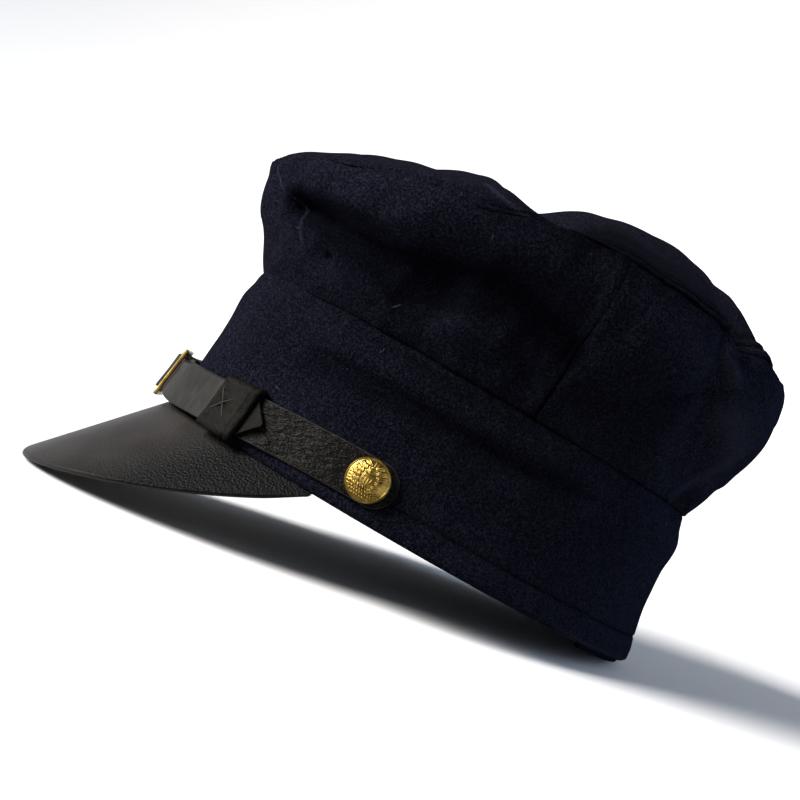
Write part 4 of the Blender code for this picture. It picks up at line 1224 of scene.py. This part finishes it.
def build_keeper(leather, thread, dark):
    """The keeper: a leather loop round both layers, its edges folded under and a cross sewn on its face."""
    low = float(strap_standoff(KEEPER_RUN)) - GAP
    high = float(layer_off(KEEPER_RUN, 1)) + STRAP_LEATHER / 2 + GAP
    half = STRAP_WIDTH / 2 + GAP * 2
    near, far, upper = low + KEEPER_CORNER, high - KEEPER_CORNER, half - KEEPER_CORNER
    outline = []
    for off, height, first in ((near, -upper, 180), (far, -upper, 270), (far, upper, 0), (near, upper, 90)):
        for turn in np.radians(first + np.linspace(0, 90, 9)):
            outline.append((off, height, math.cos(turn), math.sin(turn)))
    stops = []
    for here, there in zip(outline, outline[1:] + outline[:1]):
        gone = math.hypot(there[0] - here[0], there[1] - here[1])
        parts = max(1, round(gone / 0.0005))
        stops += [tuple(a + (b - a) * part / parts for a, b in zip(here, there)) for part in range(parts)]
    stops = np.array(stops + stops[:1])
    turns = np.radians(np.linspace(-90, 90, 9))
    flat = np.linspace(-1, 1, 41)
    fold = KEEPER_LEATHER / 2
    wide = KEEPER_WIDTH / 2 - fold
    round_off = wide + np.cos(turns) * fold
    run = np.concatenate((flat * wide, round_off, -flat[::2] * wide, -round_off))
    rolled = 1.30 + 0.35 * line(flat, 0.90, 0.10) + 0.22 * line(flat, -0.92, 0.10)
    rolled -= 0.30 * line(flat, 0.72, 0.05) + 0.12 * line(flat, -0.74, 0.05)
    rolled -= 0.10 * flat**2
    falling, rising = 0.5 - np.sin(turns) * 0.5, 0.5 + np.sin(turns) * 0.5
    grow = np.concatenate((rolled, rolled[-1] * falling, flat[::2] * 0, rolled[0] * rising))
    run, grow = np.append(run, run[0])[:, None] + KEEPER_RUN, np.append(grow, grow[0])[:, None]
    radius = KEEPER_CORNER + grow * KEEPER_LEATHER
    below = np.clip(-stops[None, :, 1] / half, 0, 1) ** 4 * 0.0012 * (grow > 0.6)
    off = stops[None, :, 0] + radius * stops[None, :, 2]
    height = strap_height(run) + stops[None, :, 1] + radius * stops[None, :, 3] - below
    points = on_band(run, off, height)
    uneven = ripple(points, 21, 0.009, 0.00016) + ripple(points, 22, 0.0035, 0.00007)
    points = points + oval_normal(angle_at(np.array(KEEPER_RUN))) * (uneven * (grow > 0.6))[..., None]
    keeper = lay_sheet("keeper_leather", points, weld=True)
    close_ends(keeper)
    shade(keeper)
    keeper.data.materials.append(leather)
    face = high + KEEPER_LEATHER * 1.28 - 0.00045
    keeper = joined("keeper_leather", [keeper] + keeper_stitches(face, half * 2, thread, dark))
    hand_over(keeper, "strap_leather", [], "keeper_loop")


def build_hem_thread(thread):
    """The stitches that hold the band's hem: one thread that comes out of the cloth and goes in again."""
    angle = np.linspace(math.radians(4), math.radians(356), 2600)
    wave = lengths_along(cloth(angle, HEM_LINE / BAND_HEIGHT - 1)) / HEM_STITCH * math.pi
    shown = np.abs(np.sin(wave)) ** 0.6
    climb = (HEM_LINE + 0.00018 * np.sin(wave * 2)) / BAND_HEIGHT - 1
    off = -0.00125 + 0.00095 * shown + crease_depth(angle, climb)
    path = cloth(angle, climb) + facing(angle, climb) * off[:, None]
    hem = lay_thread("band_hem_thread", path, HEM_THREAD)
    hand_over(hem, "navy_wool", [thread])


def build_lint(lint):
    """A few pale fibres that have caught in the nap."""
    chosen = np.random.default_rng(11)
    pieces = []
    share = np.linspace(0, 1, 12)
    for number in range(40):
        angle, climb = math.radians(chosen.uniform(-60, 190)), chosen.uniform(-0.85, 0.95)
        way, curl = chosen.uniform(0, math.tau), chosen.uniform(-2.5, 2.5)
        length = chosen.uniform(0.0007, 0.0030)
        turn = way + curl * share
        step = length / len(share)
        angles = angle + np.cumsum(np.cos(turn)) * step / (HEAD_LENGTH / 2)
        climbs = climb + np.cumsum(np.sin(turn)) * step / CLIMB_LENGTH
        off = crease_depth(angles, climbs) + 0.00010 + 0.0004 * np.sin(share * math.pi) * chosen.uniform(0, 1)
        path = cloth(angles, climbs) + facing(angles, climbs) * off[:, None]
        pieces.append(lay_thread("lint_%d" % number, path, chosen.uniform(0.00003, 0.00007)))
    fibres = joined("lint_fibres", pieces)
    hand_over(fibres, "navy_wool", [lint])


def set_on_band(made, run, off, height):
    """Moves a piece that is modelled flat on to the band, with its place in its mesh."""
    turn, place = facing_frame(run, off, height)
    made.data.transform(REST @ Matrix.Translation(place) @ turn.to_4x4())
    made.data.update()


def build_buckle(brass):
    """The buckle's frame with its middle bar, cast in one."""
    window = (BUCKLE_LENGTH - BUCKLE_BAR * 3) / 2
    opening = STRAP_WIDTH + BUCKLE_ROOM * 2
    edges_x = np.cumsum([-BUCKLE_LENGTH / 2, BUCKLE_BAR, window, BUCKLE_BAR, window, BUCKLE_BAR])
    edges_y = np.cumsum([-opening / 2 - BUCKLE_BAR, BUCKLE_BAR, opening, BUCKLE_BAR])
    points = np.stack(np.broadcast_arrays(edges_x[None, :], edges_y[:, None], 0.0), axis=-1)
    buckle = lay_grid("buckle_brass", points)[0]
    bpy.ops.object.mode_set(mode="EDIT")
    bpy.ops.mesh.select_all(action="DESELECT")
    bpy.ops.object.mode_set(mode="OBJECT")
    for face in buckle.data.polygons:
        off_window = abs(abs(face.center.x) - (window + BUCKLE_BAR) / 2)
        face.select = abs(face.center.y) < opening / 2 and off_window < window / 3
    bpy.ops.object.mode_set(mode="EDIT")
    bpy.ops.mesh.select_mode(type="FACE")
    bpy.ops.mesh.delete(type="FACE")
    bpy.ops.object.mode_set(mode="OBJECT")
    apply(buckle, "SOLIDIFY", thickness=BUCKLE_THICKNESS, offset=0)
    apply(buckle, "BEVEL", width=BUCKLE_BAR * 0.26, segments=4, limit_method="ANGLE")
    shade(buckle, 40)
    set_on_band(buckle, BUCKLE_RUN, buckle_off(), float(strap_height(BUCKLE_RUN)))
    hand_over(buckle, "gilt_brass", [brass], "buckle")


def raised(distance, edge, soft):
    """1 inside a shape whose distance is below 0, fading over a soft edge."""
    return ease((edge - distance) / soft)


def button_relief(across, up):
    """The face's relief in shares of the radius: a rim, a striped shield with a crest, two sprays of leaves,
    rows of small scales under them and rays behind."""
    ring, turn = np.hypot(across, up), np.arctan2(across, up)
    height = 0.30 * (0.5 + 0.5 * np.cos(turn * 36)) * raised(ring, 0.86, 0.05) * ease((ring - 0.30) / 0.2)
    pitch = 0.13
    row = np.floor((up + 1) / pitch)
    scale = np.cos((across + pitch / 2 * (row % 2)) * math.pi / pitch) ** 2
    scale = scale * np.sin((up + 1) / pitch * math.pi) ** 2
    height = np.where(up < -0.34, 0.95 * scale**0.6, height)
    width = 0.26 * np.clip((up + 0.36) / 0.30, 0, 1) ** 0.6
    shield = raised(np.abs(across) - width, 0, 0.05) * raised(up, 0.24, 0.05)
    stripes = 0.55 * (0.5 + 0.5 * np.cos(across * math.tau / pitch)) * raised(up, 0.06, 0.03)
    height = np.maximum(height, shield * (1.0 - stripes))
    crest = raised(np.hypot(across * 1.3, up - 0.42), 0.20, 0.10)
    height = np.maximum(height, crest * (0.8 + 0.3 * np.cos(up * math.tau / 0.11)))
    leaves = ((-0.42, 0.34), (-0.22, 0.50), (0.02, 0.57), (0.26, 0.54), (0.48, 0.42), (0.66, 0.24))
    for level, lean in leaves:
        for reach, tilt, long, wide in ((1.0, 0.80, 0.22, 0.10), (0.74, 0.35, 0.15, 0.075)):
            away_x, away_y = np.abs(across) - lean * reach, up - level
            sine = math.sqrt(1 - tilt**2)
            turned_x, turned_y = away_x * tilt + away_y * sine, away_y * tilt - away_x * sine
            leaf = (turned_x / long) ** 2 + (turned_y / wide) ** 2
            vein = 0.45 * line(turned_y, 0, 0.022)
            height = np.maximum(height, np.clip(1 - leaf, 0, 1) ** 0.5 * (1 - vein) * 1.1)
    height = height * ease((0.90 - ring) / 0.05)
    return np.maximum(height, 0.8 * line(ring, 0.95, 0.035))


def build_button(name, brass, run):
    """A gilt button: a domed face with its relief, rolled over at the edge, and a flat back."""
    across, up, reach = round_net(BUTTON_NET)
    dome = BUTTON_SKIRT + BUTTON_DOME * (1 - reach**2)
    height = dome + button_relief(across, up) * BUTTON_RELIEF * ease((1 - reach) / 0.03)
    button = lay_grid(name, np.stack((across * BUTTON_RADIUS, up * BUTTON_RADIUS, height), axis=-1))[0]
    bpy.ops.object.mode_set(mode="EDIT")
    bpy.ops.mesh.select_mode(type="EDGE")
    for share in (1.015, 0.985, 0.90):
        bpy.ops.mesh.select_all(action="DESELECT")
        bpy.ops.mesh.select_non_manifold(extend=False)
        bpy.ops.mesh.extrude_edges_move(TRANSFORM_OT_translate={"value": (0, 0, -BUTTON_SKIRT / 3)})
        bpy.ops.transform.resize(value=(share, share, 1), center_override=(0, 0, 0))
    bpy.ops.mesh.edge_face_add()
    bpy.ops.object.mode_set(mode="OBJECT")
    shade(button, 60)
    off = float(strap_standoff(run)) + STRAP_LEATHER + GAP
    set_on_band(button, run, off, float(strap_height(run)))
    hand_over(button, "gilt_brass", [brass], name.replace("_gilt", ""))


def build_studio():
    """A round sweep of pale paper under and behind the cap, with one soft light from the cap's front."""
    paper = Finish("studio_paper")
    tone = paper.noise(3, 2)
    finish = paper.surface(
        Base_Color=paper.mix(tone, (0.37, 0.37, 0.37, 1), (0.38, 0.38, 0.38, 1)),
        Roughness=0.9,
        Specular_IOR_Level=0.1,
    )
    radius, bend, height, steps = 3.0, 1.2, 2.4, 96
    turns = np.radians(np.linspace(0, 90, 19))
    floor = np.linspace(0, radius - bend, 12)[:-1]
    out = np.concatenate((floor, radius - bend + bend * np.sin(turns), [radius]))[:, None]
    up = np.concatenate((floor * 0, bend - bend * np.cos(turns), [height]))[:, None]
    way = np.linspace(0, math.tau, steps + 1)[None, :]
    points = np.stack(np.broadcast_arrays(out * np.cos(way), out * np.sin(way), up), axis=-1)
    sweep = lay_grid("studio_sweep", points)[0]
    merge_doubles(sweep, 1e-5)
    shade(sweep)
    sweep.data.materials.append(finish)
    sweep.visible_shadow = False
    world = bpy.data.worlds.new("studio")
    world.use_nodes = True
    world.node_tree.nodes["Background"].inputs["Color"].default_value = (1, 1, 1, 1)
    world.node_tree.nodes["Background"].inputs["Strength"].default_value = 0.3
    bpy.context.scene.world = world

    for name, energy, spread, toward, colour in (
        ("key_light", 16.0, 34, (0.10, -0.84, 0.54), (1.0, 0.97, 0.94)),
        ("fill_light", 4.6, 50, (-0.06, 0.95, 0.30), (0.30, 0.56, 1.0)),
    ):
        data = bpy.data.lights.new(name, "SUN")
        data.energy = energy
        data.angle = math.radians(spread)
        data.color = colour
        light = bpy.data.objects.new(name, data)
        bpy.context.scene.collection.objects.link(light)
        light.rotation_euler = Vector(toward).to_track_quat("Z", "Y").to_euler()
    bpy.context.scene.view_settings.view_transform = "Standard"


def main():
    place_camera()
    wool = make_wool()
    build_band(wool)
    build_crown_walls(wool)
    build_crown_top(wool)
    build_neck_flap(wool)
    build_peak(make_peak_leather(), make_peak_edge())
    dark_leather, dark_thread = make_keeper_leather(), make_thread("navy_thread", (0.0022, 0.0024, 0.0040))
    sides = (make_strap_grain(), make_strap_smooth(), dark_leather)
    build_near_strap(sides)
    build_far_strap(sides)
    build_keeper(dark_leather, make_thread("keeper_thread", (0.027, 0.026, 0.023)), dark_thread)
    build_hem_thread(dark_thread)
    build_lint(make_thread("pale_lint", (0.050, 0.051, 0.058)))
    brass = make_brass()
    build_buckle(brass)
    build_button("button_left_gilt", brass, BUTTON_RUN)
    build_button("button_right_gilt", brass, -BUTTON_RUN)
    build_studio()


main()
